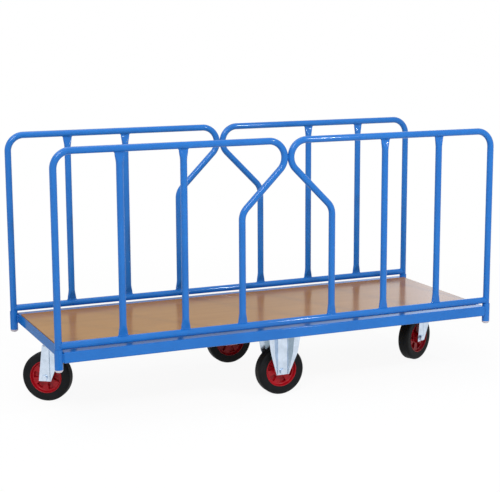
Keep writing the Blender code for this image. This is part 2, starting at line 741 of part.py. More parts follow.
def build_casters():
    """Two fixed and two swivel casters, with their wheels on empties at the axles."""
    wheel = wheel_meshes()
    axle = mesh_from(axle_body(), "axle", ZINC)
    fixed_fork = mesh_from(fixed_fork_body(), "fixed_fork", ZINC)
    swivel_fork = mesh_from(swivel_fork_body(), "swivel_fork", ZINC)
    swivel_plate = mesh_from(swivel_plate_body(), "swivel_plate", ZINC)
    kingpin = mesh_from(kingpin_body(), "kingpin", ZINC)
    ring = mesh_from(swivel_ring_body(), "swivel_ring", ZINC)
    axles = {}
    for where, y in (("front", -FIXED_Y), ("rear", FIXED_Y)):
        place(f"fixed_fork_{where}", fixed_fork, None, (0, y, 0))
        place(f"fixed_axle_{where}", axle, None, (0, y, AXLE_Z))
        axles[where] = axis_empty(f"wheel_{where}_axis", (0, y, AXLE_Z))
    for where, x in (("left", -SWIVEL_X), ("right", SWIVEL_X)):
        place(f"swivel_plate_{where}", swivel_plate, None, (x, 0, 0))
        place(f"kingpin_{where}", kingpin, None, (x, 0, 0))
        place(f"swivel_ring_{where}", ring, None, (x, 0, 0))
        axis = axis_empty(f"swivel_{where}_axis", (x, 0, 0), None, SWIVEL_REST_DEG[where])
        place(f"swivel_fork_{where}", swivel_fork, axis)
        place(f"swivel_axle_{where}", axle, axis, (TRAIL, 0, AXLE_Z))
        axles[where] = axis_empty(f"wheel_{where}_axis", (TRAIL, 0, AXLE_Z), axis)
    for where, axis in axles.items():
        for piece, mesh in wheel:
            place(f"{piece}_{where}", mesh, axis)


def main():
    clear_scene()
    build_platform()
    build_sides()
    build_casters()
    bpy.context.view_layer.update()


main()
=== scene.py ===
"""Looks of an order picking cart: bent tube sides, a varnished deck, zinc casters and rubber wheels.

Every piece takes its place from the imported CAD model, in metres with +Z up.
"""

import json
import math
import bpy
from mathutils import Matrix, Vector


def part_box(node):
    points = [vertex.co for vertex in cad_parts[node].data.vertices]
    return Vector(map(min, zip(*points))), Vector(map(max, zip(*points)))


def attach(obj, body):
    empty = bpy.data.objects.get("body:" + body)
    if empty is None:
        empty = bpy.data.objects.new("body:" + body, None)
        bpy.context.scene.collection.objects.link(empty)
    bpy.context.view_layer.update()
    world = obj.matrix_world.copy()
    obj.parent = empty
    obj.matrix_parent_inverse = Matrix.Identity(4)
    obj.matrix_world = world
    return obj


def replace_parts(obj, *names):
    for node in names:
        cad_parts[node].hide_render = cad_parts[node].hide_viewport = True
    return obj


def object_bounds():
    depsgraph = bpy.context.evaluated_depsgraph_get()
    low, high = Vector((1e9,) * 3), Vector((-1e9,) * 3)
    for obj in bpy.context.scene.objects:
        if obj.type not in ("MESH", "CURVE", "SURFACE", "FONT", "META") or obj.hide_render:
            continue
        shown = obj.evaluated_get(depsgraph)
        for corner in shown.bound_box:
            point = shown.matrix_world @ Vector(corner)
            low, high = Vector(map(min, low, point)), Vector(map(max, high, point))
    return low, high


bl_info = {
    "name": "Order picking cart",
    "version": (1, 0, 0),
    "blender": (4, 5, 0),
    "location": "View3D > Sidebar > Cart",
    "description": "Dresses the CAD model of an order picking cart",
    "category": "Object",
}

import bmesh
import bpy
from bpy.props import FloatProperty, FloatVectorProperty, IntProperty, PointerProperty
from mathutils import Matrix, Vector

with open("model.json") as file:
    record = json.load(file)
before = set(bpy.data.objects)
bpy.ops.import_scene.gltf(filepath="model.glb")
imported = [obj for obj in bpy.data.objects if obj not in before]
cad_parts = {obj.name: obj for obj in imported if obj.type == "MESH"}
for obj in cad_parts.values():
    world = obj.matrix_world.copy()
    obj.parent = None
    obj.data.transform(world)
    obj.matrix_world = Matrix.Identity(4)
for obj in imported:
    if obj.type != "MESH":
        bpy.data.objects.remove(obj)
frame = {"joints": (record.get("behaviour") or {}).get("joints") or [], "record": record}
CAD_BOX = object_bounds()

# Places of the CAD model
BODY_OF = {node: body for body, nodes in frame["record"]["behaviour"]["bodies"].items() for node in nodes}
SLOT_OF = {part["node"]: part["material_slot"] for part in frame["record"]["subparts"]}
JOINT = {joint["name"]: joint for joint in frame["joints"]}
ENDS = (("left", -1), ("right", 1))
LONG_SIDES = (("front", -1), ("rear", 1))
HOOP_LOW, HOOP_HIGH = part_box("hoop_rear_right")
RAIL_LOW, RAIL_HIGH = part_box("lower_rail_rear")
ANGLE_LOW, ANGLE_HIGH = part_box("end_angle_right")
CHANNEL_LOW, CHANNEL_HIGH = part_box("side_channel_front")
TUBE_D = HOOP_HIGH.y - HOOP_LOW.y
TUBE_R = TUBE_D / 2
SIDE_Y = (HOOP_LOW.y + HOOP_HIGH.y) / 2
LEG_X = HOOP_HIGH.x - TUBE_R
LEG_FOOT = HOOP_LOW.z
TOP_Z = HOOP_HIGH.z - TUBE_R
NOSE_GAP = HOOP_LOW.x
RAIL_Z = (RAIL_LOW.z + RAIL_HIGH.z) / 2
BAR_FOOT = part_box("bar_rear_1")[0].z
BAR_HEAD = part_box("bar_rear_1")[1].z
BAR_NUMBERS = (1, 2, 3, 4)
PLATFORM_X = ANGLE_HIGH.x
PLATFORM_Y = -CHANNEL_LOW.y
PLATFORM_UNDER = ANGLE_LOW.z
PLATFORM_TOP = ANGLE_HIGH.z
FLANGE = ANGLE_HIGH.x - ANGLE_LOW.x
LEDGE = CHANNEL_HIGH.y - CHANNEL_LOW.y

# Smoothness
TUBE_SIDES = 32
TURN_STEPS = 48
BOLT_STEPS = 24
WHEEL_STEPS = 96
BEND_STEP = math.radians(4.0)
FLAT_STEPS = 12
CORNER_STEPS = 5
BEAD_SIDES = 8
SMOOTH_UNDER = math.radians(38.0)

# Angles in degrees from which an edge is eased or rounded
FOLD_OVER = 5.0
EDGE_OVER = 35.0
RIM_EDGE_OVER = 40.0
CORNER_OVER = 60.0

# Small sizes in metres, and a right angle
TINY = 1e-6
FIT_GAP = 0.0003
SHEET_EASE = 0.0007
QUARTER_TURN = math.pi / 2


def length(name, description, default):
    """A size in metres that the sidebar shows."""
    return FloatProperty(name=name, description=description, default=default, precision=5, unit="LENGTH")


def colour(name, description, default):
    """A colour that the sidebar shows."""
    return FloatVectorProperty(name=name, description=description, default=default, size=3, min=0.0, max=1.0,
                               subtype="COLOR")


def tilt(name, description, degrees):
    """An angle that the sidebar shows."""
    return FloatProperty(name=name, description=description, default=math.radians(degrees), subtype="ANGLE")


def power(name, description, watts):
    """A lamp's power that the sidebar shows."""
    return FloatProperty(name=name, description=description, default=watts, unit="POWER")


def level(name, description, default):
    """A plain share or strength that the sidebar shows."""
    return FloatProperty(name=name, description=description, default=default)


class TubeSettings(bpy.types.PropertyGroup):
    """Sizes of the bent tubes and their welds."""

    bend_r: length("Bend radius", "Centre line radius of every bend", 0.066)
    inner_x: length("Inner upright", "Distance of the inner uprights from the middle", 0.195)
    diagonal: tilt("Diagonal", "Fall of the diagonal below level", 45.0)
    flat_depth: length("Squashed depth", "Thickness of a squashed tube end", 0.007)
    flat_dent: length("Squashed dent", "Depth of the dent in each face of a squashed tube end", 0.0014)
    flat_length: length("Squashed length", "Length over which a tube end is squashed", 0.045)
    bead_r: length("Weld bead", "Radius of a weld bead", 0.0022)


class PlatformSettings(bpy.types.PropertyGroup):
    """Sizes of the platform's rim, sockets and cross members."""

    seam: length("Seam", "Gap between pieces that touch", 0.0003)
    angle_t: length("Rim wall", "Wall of the rim members", 0.004)
    angle_root: length("Angle root", "Fillet inside the rim members", 0.003)
    outer_bend: length("Outer bend", "Rounding outside the rim members' folds", 0.005)
    edge: length("Edge", "Rounding of steel edges", 0.0009)
    socket_wall: length("Socket wall", "Wall of a corner socket", 0.002)
    socket_bead: length("Socket bead", "Radius of the weld beads between the sockets and the rim", 0.0034)
    plug_stem: length("Plug stem", "Length of a plug's stem in its socket", 0.015)
    plug_tip: length("Plug tip", "Diameter of a plug's tip", 0.020)
    channel_t: length("Channel wall", "Wall of the caster channels", 0.004)
    channel_bend: length("Channel bend", "Outside bend of the caster channels", 0.006)
    cross_corner: length("Cross member corner", "Corner radius of the box sections", 0.004)
    deck_edge: length("Deck edge", "Rounding of the deck board's edges", 0.0012)


class CasterSettings(bpy.types.PropertyGroup):
    """Sizes of the caster forks, plates and bolts."""

    inside: length("Fork inside", "Width between the legs of a fork", 0.062)
    sheet_t: length("Fork sheet", "Thickness of a fork's sheet", 0.004)
    foot: length("Fork foot", "Depth of a fork leg below the axle", 0.014)
    crease: length("Crease", "Half width of a pressed crease", 0.0024)
    crease_depth: length("Crease depth", "Depth of a pressed crease", 0.0046)
    crease_ease: length("Crease rounding", "Rounding of a crease's edges", 0.0006)
    foot_corner: length("Foot corner", "Rounding of a fork leg's lower corners", 0.009)
    plate_t: length("Plate thickness", "Thickness of the top plates", 0.005)
    plate_long: length("Plate length", "Long side of a top plate", 0.140)
    plate_short: length("Plate width", "Short side of a top plate", 0.124)
    plate_corner: length("Plate corner", "Corner radius of a top plate", 0.009)
    fixed_top: length("Fixed fork top", "Width of a fixed fork at its top plate", 0.138)
    fixed_knee: length("Fixed fork knee", "Width of a fixed fork at its knee", 0.116)
    fixed_knee_drop: length("Fixed fork knee drop", "Depth of the knee below the top plate", 0.070)
    fixed_panel: length("Fixed fork panel", "Width of a fixed fork's middle panel", 0.045)
    fixed_foot: length("Fixed fork foot", "Width of a fixed fork's foot", 0.054)
    fixed_flare: tilt("Fixed fork flare", "Flare of a fixed fork's wings", 28.0)
    fold_share: level("Fold", "Place of the fold across a fork's wing", 0.45)
    fold_gain: level("Fold gain", "How much steeper a wing flares inside its fold", 1.45)
    swivel_lead_top: length("Swivel fork front", "Front edge at the crown, from the swivel axis", -0.025)
    swivel_lead_foot: length("Swivel foot front", "Front edge at the foot, before the axle", 0.026)
    swivel_crease: length("Swivel fork crease", "Place of the crease before the axle", 0.022)
    swivel_tail_top: length("Swivel fork back", "Back edge at the crown, behind the axle", 0.008)
    swivel_tail_foot: length("Swivel foot back", "Back edge at the foot, behind the axle", 0.025)
    swivel_flare: tilt("Swivel fork flare", "Flare of a swivel fork's wings", 10.0)
    crown_d: length("Crown", "Diameter of a swivel fork's crown", 0.088)
    crown_t: length("Crown thickness", "Thickness of a swivel fork's crown", 0.005)
    bolt_d: length("Bolt", "Diameter of a caster bolt", 0.010)
    bolt_af: length("Bolt head", "Width of a caster bolt's head across its flats", 0.016)
    bolt_head: length("Bolt head height", "Height of a caster bolt's head with its washer", 0.0064)
    bolt_nut: length("Bolt nut height", "Height of a caster bolt's nut", 0.008)
    bolt_long: length("Bolt spacing", "Bolt spacing along a plate's long side", 0.105)
    fixed_bolt: length("Fixed bolt spacing", "Bolt spacing across a fixed caster's plate", 0.060)
    swivel_bolt: length("Swivel bolt spacing", "Bolt spacing across a swivel caster's plate", 0.080)
    axle_d: length("Axle", "Diameter of an axle bolt", 0.014)
    axle_af: length("Axle head", "Width of an axle bolt's head across its flats", 0.022)
    axle_head: length("Axle head height", "Height of an axle bolt's head with its washer", 0.009)
    washer_t: length("Washer", "Thickness of a washer", 0.0016)


class WheelSettings(bpy.types.PropertyGroup):
    """Sizes of the wheels."""

    wheel_d: length("Wheel", "Diameter of a wheel", 0.1997)
    tyre_width: length("Tyre width", "Width of a tyre", 0.050)
    shoulder: length("Shoulder", "Rounding of a tyre's shoulders", 0.012)
    groove: length("Tread groove", "Width and depth of a tread groove", 0.0014)
    groove_pitch: length("Groove pitch", "Spacing of the tread grooves", 0.0075)
    centre_d: length("Wheel centre", "Diameter of the wheel centre", 0.138)
    lip: length("Lip", "Width of the wheel centre's lip", 0.0056)
    ridge: length("Ridge", "Height of the ridge inside the tyre's bead", 0.0024)
    lip_inset: length("Lip inset", "Inset of the lip from the tyre's side", 0.003)
    bead: length("Bead", "How far the tyre's bead reaches over the lip", 0.003)
    bead_t: length("Bead thickness", "Thickness of the tyre's bead over the lip", 0.0014)
    web: length("Web", "Half thickness of the wheel centre's web", 0.0125)
    hub_d: length("Hub", "Diameter of the hub", 0.046)
    hub_length: length("Hub length", "Length of the hub", 0.059)
    bearing_d: length("Bearing sleeve", "Diameter of the bearing sleeve", 0.020)
    bearing_length: length("Bearing length", "Length of the bearing sleeve", 0.0612)
    pockets: IntProperty(name="Pockets", description="Pockets in each face of the wheel centre", default=6)
    pocket_depth: length("Pocket depth", "Depth of a pocket", 0.0095)


class FinishSettings(bpy.types.PropertyGroup):
    """Colours of the finishes."""

    paint: colour("Paint", "Powder coat on the tubes and the platform", (0.0125, 0.152, 0.515))
    paint_deep: colour("Paint, deep", "Powder coat where it lies thicker", (0.0105, 0.136, 0.475))
    zinc: colour("Zinc", "Zinc plate on the casters", (0.66, 0.755, 0.885))
    zinc_dull: colour("Zinc, dull", "Zinc plate where it is hazy", (0.55, 0.64, 0.755))
    rubber: colour("Rubber", "Tyres", (0.0045, 0.0050, 0.0060))
    rubber_worn: colour("Rubber, dusty", "Tyres where dust clings", (0.0110, 0.0115, 0.0125))
    red: colour("Red", "Wheel centres", (0.385, 0.0045, 0.0120))
    red_deep: colour("Red, deep", "Wheel centres where the moulding is darker", (0.310, 0.0030, 0.0085))
    plug: colour("Plug", "Plugs under the sockets", (0.60, 0.56, 0.60))
    deck_light: colour("Deck, light", "Pale grain of the varnished deck", (0.408, 0.193, 0.032))
    deck_dark: colour("Deck, dark", "Dark grain of the varnished deck", (0.352, 0.161, 0.024))


class StageSettings(bpy.types.PropertyGroup):
    """Camera and light."""

    lens: FloatProperty(name="Lens", description="Focal length on a 36 mm sensor", default=92.41,
                        unit="CAMERA")
    azimuth: tilt("Azimuth", "Turn of the camera round the cart", -23.7215)
    elevation: tilt("Elevation", "Tilt of the camera below level", 10.0847)
    roll: tilt("Roll", "Roll of the camera", -0.2512)
    camera: FloatVectorProperty(name="Camera", description="Place of the camera", subtype="TRANSLATION",
                                default=(-2.13897, -4.84572, 1.50823))
    ambient: level("Ambient", "Light of the white surroundings", 0.46)
    key: power("Key light", "Power of the key light", 175.0)
    top: power("Top light", "Power of the soft light overhead", 34.0)
    spot: power("Spot light", "Power of the small light at the right", 30.0)
    card_low: level("Card, dark end", "Glow of the card's left end, which the deck mirrors", 0.58)
    card_rise: level("Card, rise", "How much brighter the card's right end glows", 1.1)
    card_start: length("Card start", "Where along X the card begins to brighten", 0.0)
    card_end: length("Card end", "Where along X the card glows most", 2.9)
    front_flag: level("Front flag", "Glow of the dark card that the front caster mirrors", 0.42)
    rear_flag: level("Rear flag", "Glow of the dark card that the left end mirrors", 0.40)
    floor_glow: level("Floor glow", "White share of the floor near the cart", 0.93)


class CartSettings(bpy.types.PropertyGroup):
    """Everything that can be set on the cart."""

    tubes: PointerProperty(type=TubeSettings)
    platform: PointerProperty(type=PlatformSettings)
    casters: PointerProperty(type=CasterSettings)
    wheels: PointerProperty(type=WheelSettings)
    finish: PointerProperty(type=FinishSettings)
    stage: PointerProperty(type=StageSettings)


# Node sheets, and the numbers of the colour sockets on a Mix node
MIX_SHARE = 0
MIX_FIRST = 6
MIX_SECOND = 7
MIX_RESULT = 2


def rgba(tint):
    """A colour with its alpha."""
    return (*tint, 1.0)


class Wire:
    """An output socket. Arithmetic on it adds Math nodes."""

    def __init__(self, sheet, socket):
        self.sheet = sheet
        self.socket = socket

    def math(self, operation, first, second):
        """Adds a Math node."""
        return self.sheet.node("ShaderNodeMath", {"operation": operation}, {0: first, 1: second})

    def __add__(self, other):
        return self.math("ADD", self, other)

    def __sub__(self, other):
        return self.math("SUBTRACT", self, other)

    def __mul__(self, other):
        return self.math("MULTIPLY", self, other)

    def __radd__(self, other):
        return self.math("ADD", other, self)

    def __rsub__(self, other):
        return self.math("SUBTRACT", other, self)

    def __rmul__(self, other):
        return self.math("MULTIPLY", other, self)


class Sheet:
    """The node tree of one material or of the world."""

    def __init__(self, tree):
        self.tree = tree
        tree.nodes.clear()

    def node(self, kind, settings, sockets, output=0):
        """Adds one node, with its settings first and then the values or wires of its sockets."""
        made = self.tree.nodes.new(kind)
        for name, value in settings.items():
            setattr(made, name, value)
        for name, value in sockets.items():
            if isinstance(value, Wire):
                self.tree.links.new(value.socket, made.inputs[name])
            else:
                made.inputs[name].default_value = value
        return Wire(self, made.outputs[output]) if made.outputs else None

    def place(self, stretch=(1.0, 1.0, 1.0)):
        """Object coordinates, stretched for a pattern."""
        spot = self.node("ShaderNodeTexCoord", {}, {}, "Object")
        return self.node("ShaderNodeMapping", {}, {"Vector": spot, "Scale": stretch})

    def noise(self, scale, detail=2.0, stretch=(1.0, 1.0, 1.0)):
        """A noise pattern from 0 to 1."""
        values = {"Vector": self.place(stretch), "Scale": scale, "Detail": detail}
        return self.node("ShaderNodeTexNoise", {}, values)

    def blend(self, share, first, second):
        """A colour between two colours."""
        values = {MIX_SHARE: share, MIX_FIRST: rgba(first), MIX_SECOND: rgba(second)}
        return self.node("ShaderNodeMix", {"data_type": "RGBA"}, values, MIX_RESULT)

    def spread(self, value, low, high):
        """The value's range from low to high, spread out over 0 to 1."""
        values = {"Value": value, "From Min": low, "From Max": high}
        return self.node("ShaderNodeMapRange", {"clamp": True}, values)

    def bump(self, height, strength, distance):
        """A normal that follows the height of a pattern."""
        values = {"Height": height, "Strength": strength, "Distance": distance}
        return self.node("ShaderNodeBump", {}, values)

    def coat(self, values):
        """A Principled shader."""
        return self.node("ShaderNodeBsdfPrincipled", {}, values)

    def surface(self, shader):
        """Makes a shader the material's surface."""
        self.node("ShaderNodeOutputMaterial", {}, {"Surface": shader})


def new_finish(name):
    """A new material, and the sheet that its nodes go on."""
    material = bpy.data.materials.new(name)
    material.use_nodes = True
    return material, Sheet(material.node_tree)


def paint_coat(sheet, finish):
    """Glossy powder coat with a faint orange peel."""
    cloud = sheet.noise(scale=7.0, detail=3.0)
    peel = sheet.noise(scale=520.0)
    patches = sheet.spread(cloud, low=0.35, high=0.65)
    return sheet.coat({
        "Base Color": sheet.blend(patches, finish.paint_deep, finish.paint),
        "Roughness": 0.07 + 0.06 * peel,
        "Normal": sheet.bump(peel, strength=0.06, distance=0.0004),
        "Specular IOR Level": 0.28,
    })


def zinc_plate(sheet, finish):
    """Bright zinc plate with a haze that drifts over the sheet."""
    haze = sheet.noise(scale=38.0, detail=4.0)
    grain = sheet.noise(scale=420.0, detail=3.0)
    patches = sheet.spread(haze, low=0.35, high=0.70)
    return sheet.coat({
        "Base Color": sheet.blend(patches, finish.zinc, finish.zinc_dull),
        "Metallic": 1.0,
        "Roughness": 0.14 + 0.14 * haze + 0.05 * grain,
        "Normal": sheet.bump(grain, strength=0.08, distance=0.0003),
    })


def tyre_rubber(sheet, finish):
    """Matt black rubber with a little dust."""
    dust = sheet.noise(scale=26.0, detail=5.0)
    grain = sheet.noise(scale=700.0)
    patches = sheet.spread(dust, low=0.45, high=0.80)
    return sheet.coat({
        "Base Color": sheet.blend(patches, finish.rubber, finish.rubber_worn),
        "Roughness": 0.50 + 0.20 * dust,
        "Normal": sheet.bump(grain, strength=0.15, distance=0.0004),
        "Specular IOR Level": 0.15,
    })


def moulded(sheet, light, deep):
    """Moulded plastic with a fine grain and a slow drift of its colour."""
    drift = sheet.noise(scale=30.0, detail=3.0)
    grain = sheet.noise(scale=600.0)
    patches = sheet.spread(drift, low=0.30, high=0.70)
    return sheet.coat({
        "Base Color": sheet.blend(patches, deep, light),
        "Roughness": 0.25 + 0.14 * grain,
        "Normal": sheet.bump(grain, strength=0.10, distance=0.0003),
        "Specular IOR Level": 0.25,
    })


def red_moulding(sheet, finish):
    """Red wheel centres."""
    return moulded(sheet, finish.red, finish.red_deep)


def plug_moulding(sheet, finish):
    """Grey socket plugs."""
    shade = 0.86
    return moulded(sheet, finish.plug, [shade * part for part in finish.plug])


def deck_varnish(sheet, finish):
    """Varnished deck board, its grain along the cart."""
    figure = sheet.noise(scale=3.2, detail=4.0, stretch=(0.6, 7.0, 7.0))
    fibre = sheet.noise(scale=90.0, detail=3.0, stretch=(0.05, 3.0, 3.0))
    grain = sheet.spread(0.65 * figure + 0.35 * fibre, low=0.30, high=0.70)
    return sheet.coat({
        "Base Color": sheet.blend(grain, finish.deck_dark, finish.deck_light),
        "Roughness": 0.13 + 0.08 * fibre,
        "Normal": sheet.bump(fibre, strength=0.03, distance=0.0003),
        "Specular IOR Level": 0.2,
    })


FINISH_OF = {
    "blue_paint": paint_coat,
    "zinc_steel": zinc_plate,
    "black_rubber": tyre_rubber,
    "red_centre": red_moulding,
    "grey_plastic": plug_moulding,
    "deck_wood": deck_varnish,
}


def finish_for(slot):
    """The material of a slot, made when it is first needed."""
    name = f"{slot}_finish"
    known = bpy.data.materials.get(name)
    if known:
        return known
    material, sheet = new_finish(name)
    sheet.surface(FINISH_OF[slot](sheet, bpy.context.scene.cart.finish))
    return material


# Shapes
def outline(points):
    """A flat face in the XZ plane through (x, z) points. A third number rounds that corner."""
    bm = bmesh.new()
    verts = [bm.verts.new((point[0], 0.0, point[1])) for point in points]
    bm.faces.new(verts)
    for vert, point in zip(verts, points):
        if len(point) > 2:
            bmesh.ops.bevel(bm, geom=[vert], offset=point[2], offset_type="OFFSET", segments=CORNER_STEPS,
                            profile=0.5, affect="VERTICES", material=-1)
    return bm


def moved_verts(made):
    """The vertices that an extrusion made."""
    return [item for item in made["geom"] if isinstance(item, bmesh.types.BMVert)]


def edges_of(geometry):
    """The edges among what an operator made."""
    return [item for item in geometry if isinstance(item, bmesh.types.BMEdge)]


def height_of(edge):
    """How far an edge rises along Z."""
    return abs(edge.verts[0].co.z - edge.verts[1].co.z)


def turn_to(way):
    """The turn that takes +Z to a way."""
    return Vector((0, 0, 1)).rotation_difference(way).to_matrix().to_4x4()


def pulled(bm, way):
    """The flat faces of bm pulled out along way into a solid."""
    made = bmesh.ops.extrude_face_region(bm, geom=bm.faces[:])
    bmesh.ops.translate(bm, vec=way, verts=moved_verts(made))
    bmesh.ops.recalc_face_normals(bm, faces=bm.faces)
    return bm


def spin_round(bm, steps):
    """Spins the vertices and edges of bm once round the Z axis."""
    bmesh.ops.spin(bm, geom=bm.verts[:] + bm.edges[:], cent=(0, 0, 0), axis=(0, 0, 1), dvec=(0, 0, 0),
                   angle=math.tau, steps=steps, use_merge=True)


def turned(points, steps=TURN_STEPS):
    """An outline of (radius, z) points turned round the Z axis."""
    bm = outline(points)
    bmesh.ops.delete(bm, geom=bm.faces[:], context="FACES_ONLY")
    on_axis = [edge for edge in bm.edges if max(vert.co.x for vert in edge.verts) < TINY]
    bmesh.ops.delete(bm, geom=on_axis, context="EDGES")
    spin_round(bm, steps)
    bmesh.ops.remove_doubles(bm, verts=bm.verts, dist=TINY)
    bmesh.ops.recalc_face_normals(bm, faces=bm.faces)
    return bm


def mirrored(points):
    """Points (radius, z) on the other side of z = 0, in the order that closes the outline."""
    return [(point[0], -point[1], *point[2:]) for point in reversed(points)]


def sharp_edges(bm, over_deg):
    """The edges whose faces meet at more than an angle in degrees."""
    limit = math.radians(over_deg)
    return [edge for edge in bm.edges if edge.is_manifold and edge.calc_face_angle() > limit]


def rounded(bm, edges, radius, segments=2):
    """Rounds some edges of bm."""
    bmesh.ops.bevel(bm, geom=edges, offset=radius, offset_type="OFFSET", segments=segments, profile=0.5,
                    affect="EDGES", clamp_overlap=True, material=-1)
    return bm


def eased(bm, radius, over_deg=EDGE_OVER):
    """Eases every sharp edge of bm."""
    return rounded(bm, sharp_edges(bm, over_deg), radius)


def box_shape(low, high):
    """A box between two corners."""
    low = Vector(low)
    high = Vector(high)
    bm = bmesh.new()
    bmesh.ops.create_cube(bm, size=1.0)
    bmesh.ops.scale(bm, vec=high - low, verts=bm.verts)
    bmesh.ops.translate(bm, vec=(low + high) / 2, verts=bm.verts)
    return bm


def hexagon_shape(across_flats, low_z, high_z, chamfer):
    """A hexagon head or nut along Z, with both rims chamfered."""
    bm = bmesh.new()
    bmesh.ops.create_circle(bm, cap_ends=True, segments=6, radius=across_flats / math.sqrt(3.0))
    bmesh.ops.translate(bm, vec=(0, 0, low_z), verts=bm.verts)
    pulled(bm, (0, 0, high_z - low_z))
    rims = [edge for edge in bm.edges if height_of(edge) < TINY]
    return rounded(bm, rims, chamfer)


def joined(*shapes):
    """Several shapes in one bmesh."""
    whole = bmesh.new()
    for shape in shapes:
        mesh = bpy.data.meshes.new("shape")
        shape.to_mesh(mesh)
        shape.free()
        whole.from_mesh(mesh)
        bpy.data.meshes.remove(mesh)
    return whole


def shifted(bm, matrix):
    """The shape moved by a matrix."""
    bmesh.ops.transform(bm, matrix=matrix, verts=bm.verts)
    return bm


def publish(bm, name, body, slot, matrix=None):
    """Makes one finished object of a shape, riding on a body."""
    bmesh.ops.recalc_face_normals(bm, faces=bm.faces)
    mesh = bpy.data.meshes.new(name)
    bm.to_mesh(mesh)
    if matrix:
        mesh.transform(matrix)
    mesh.materials.append(finish_for(slot))
    mesh.shade_smooth()
    mesh.set_sharp_from_angle(angle=SMOOTH_UNDER)
    obj = bpy.data.objects.new(name, mesh)
    bpy.context.scene.collection.objects.link(obj)
    obj.modifiers.new("even_shading", "WEIGHTED_NORMAL").keep_sharp = True
    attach(obj, body)
    return obj


def dress(bm, node, matrix=None):
    """Puts a finished shape in a CAD node's place."""
    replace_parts(publish(bm, f"{node}_body", BODY_OF[node], SLOT_OF[node], matrix), node)


# Tubes
class BentTube:
    """A tube in the XZ plane, drawn one run or bend at a time as a bending machine makes it."""

    def __init__(self, place, heading):
        self.bm = bmesh.new()
        self.place = Vector(place)
        self.heading = Vector(heading)
        bmesh.ops.create_circle(self.bm, cap_ends=True, segments=TUBE_SIDES, radius=TUBE_R,
                                matrix=Matrix.Translation(self.place) @ turn_to(self.heading))
        self.rim = self.bm.edges[:]

    def run(self, distance, steps=1):
        """Runs straight on."""
        step = self.heading * (distance / steps)
        for _ in range(steps):
            made = bmesh.ops.extrude_edge_only(self.bm, edges=self.rim)
            bmesh.ops.translate(self.bm, vec=step, verts=moved_verts(made))
            self.rim = edges_of(made["geom"])
            self.place += step

    def bend(self, angle, radius):
        """Bends in the XZ plane, towards -X from +Z where the angle is positive."""
        side = math.copysign(1.0, angle)
        axis = Vector((0, -side, 0))
        centre = self.place + self.heading.cross(Vector((0, side, 0))) * radius
        steps = math.ceil(abs(angle) / BEND_STEP)
        made = bmesh.ops.spin(self.bm, geom=self.rim, cent=centre, axis=axis, dvec=(0, 0, 0),
                              angle=abs(angle), steps=steps)
        self.rim = edges_of(made["geom_last"])
        turn = Matrix.Rotation(abs(angle), 3, axis)
        self.place = centre + turn @ (self.place - centre)
        self.heading = turn @ self.heading

    def closed(self):
        """The tube with its far end closed."""
        bmesh.ops.edgeloop_fill(self.bm, edges=self.rim)
        bmesh.ops.recalc_face_normals(self.bm, faces=self.bm.faces)
        return self.bm


def flat_point(angle, share, tubes):
    """The point at an angle round a tube that is pressed flat by a share, from 0 for round to 1."""
    thick = TUBE_D + share * (tubes.flat_depth - TUBE_D)
    flat = math.pi * (TUBE_D - thick) / 4
    steepness = math.atan2(abs(math.sin(angle)), abs(math.cos(angle))) / QUARTER_TURN
    around = (flat + math.pi * thick / 4) * (1 - steepness)
    if around < flat:
        dent = tubes.flat_dent * share * (1 - (around / flat) ** 2)
        spot = (around, thick / 2 - dent)
    else:
        past = (around - flat) / (thick / 2)
        spot = (flat + thick / 2 * math.sin(past), thick / 2 * math.cos(past))
    return math.copysign(spot[0], math.cos(angle)), math.copysign(spot[1], math.sin(angle))


def press_flat(bm, x, end_z, inward, tubes):
    """Presses the end of an upright tube flat. inward is the way from that end into the tube, 1 or -1."""
    slack = 0.001
    for vert in bm.verts:
        depth = 1 - (vert.co.z - end_z) * inward / tubes.flat_length
        if abs(vert.co.x - x) > TUBE_D or not 0 < depth < 1 + slack:
            continue
        share = depth * depth * (3 - 2 * depth)
        angle = math.atan2(vert.co.y, vert.co.x - x)
        across, out = flat_point(angle, share, tubes)
        vert.co.x = x + across
        vert.co.y = out


def hoop_shape(tubes):
    """The hoop at the +X end of a side: leg, top tube, nose, diagonal and inner upright in one tube."""
    bend_r = tubes.bend_r
    nose_x = NOSE_GAP + TUBE_R + bend_r
    fall = tubes.diagonal
    diagonal_x = nose_x - bend_r * math.sin(fall)
    knee_cut = bend_r * math.tan((QUARTER_TURN - fall) / 2)
    tube = BentTube((LEG_X, 0, LEG_FOOT), (0, 0, 1))
    tube.run(TOP_Z - bend_r - LEG_FOOT)
    tube.bend(QUARTER_TURN, bend_r)
    tube.run(LEG_X - bend_r - nose_x)
    tube.bend(math.pi - fall, bend_r)
    tube.run((tubes.inner_x - diagonal_x) / math.cos(fall) - knee_cut)
    tube.bend(fall - QUARTER_TURN, bend_r)
    tube.run(tube.place.z - BAR_FOOT - tubes.flat_length)
    tube.run(tubes.flat_length, FLAT_STEPS)
    bm = tube.closed()
    press_flat(bm, tubes.inner_x, BAR_FOOT, 1, tubes)
    return bm


def bar_shape(tubes):
    """An upright bar, pressed flat at both ends."""
    tube = BentTube((0, 0, BAR_FOOT), (0, 0, 1))
    tube.run(tubes.flat_length, FLAT_STEPS)
    tube.run(BAR_HEAD - BAR_FOOT - 2 * tubes.flat_length)
    tube.run(tubes.flat_length, FLAT_STEPS)
    bm = tube.closed()
    press_flat(bm, 0.0, BAR_FOOT, 1, tubes)
    press_flat(bm, 0.0, BAR_HEAD, -1, tubes)
    return bm


def leg_hollow(y):
    """How far the rail's end at y reaches round the leg that it is welded to."""
    return math.sqrt(max(TUBE_R * TUBE_R - y * y, 0.0))


def rail_shape():
    """The lower rail, its ends cut to sit round the legs."""
    tube = BentTube((-LEG_X, 0, RAIL_Z), (1, 0, 0))
    tube.run(2 * LEG_X)
    bm = tube.closed()
    for vert in bm.verts:
        vert.co.x -= math.copysign(leg_hollow(vert.co.y), vert.co.x)
    return bm


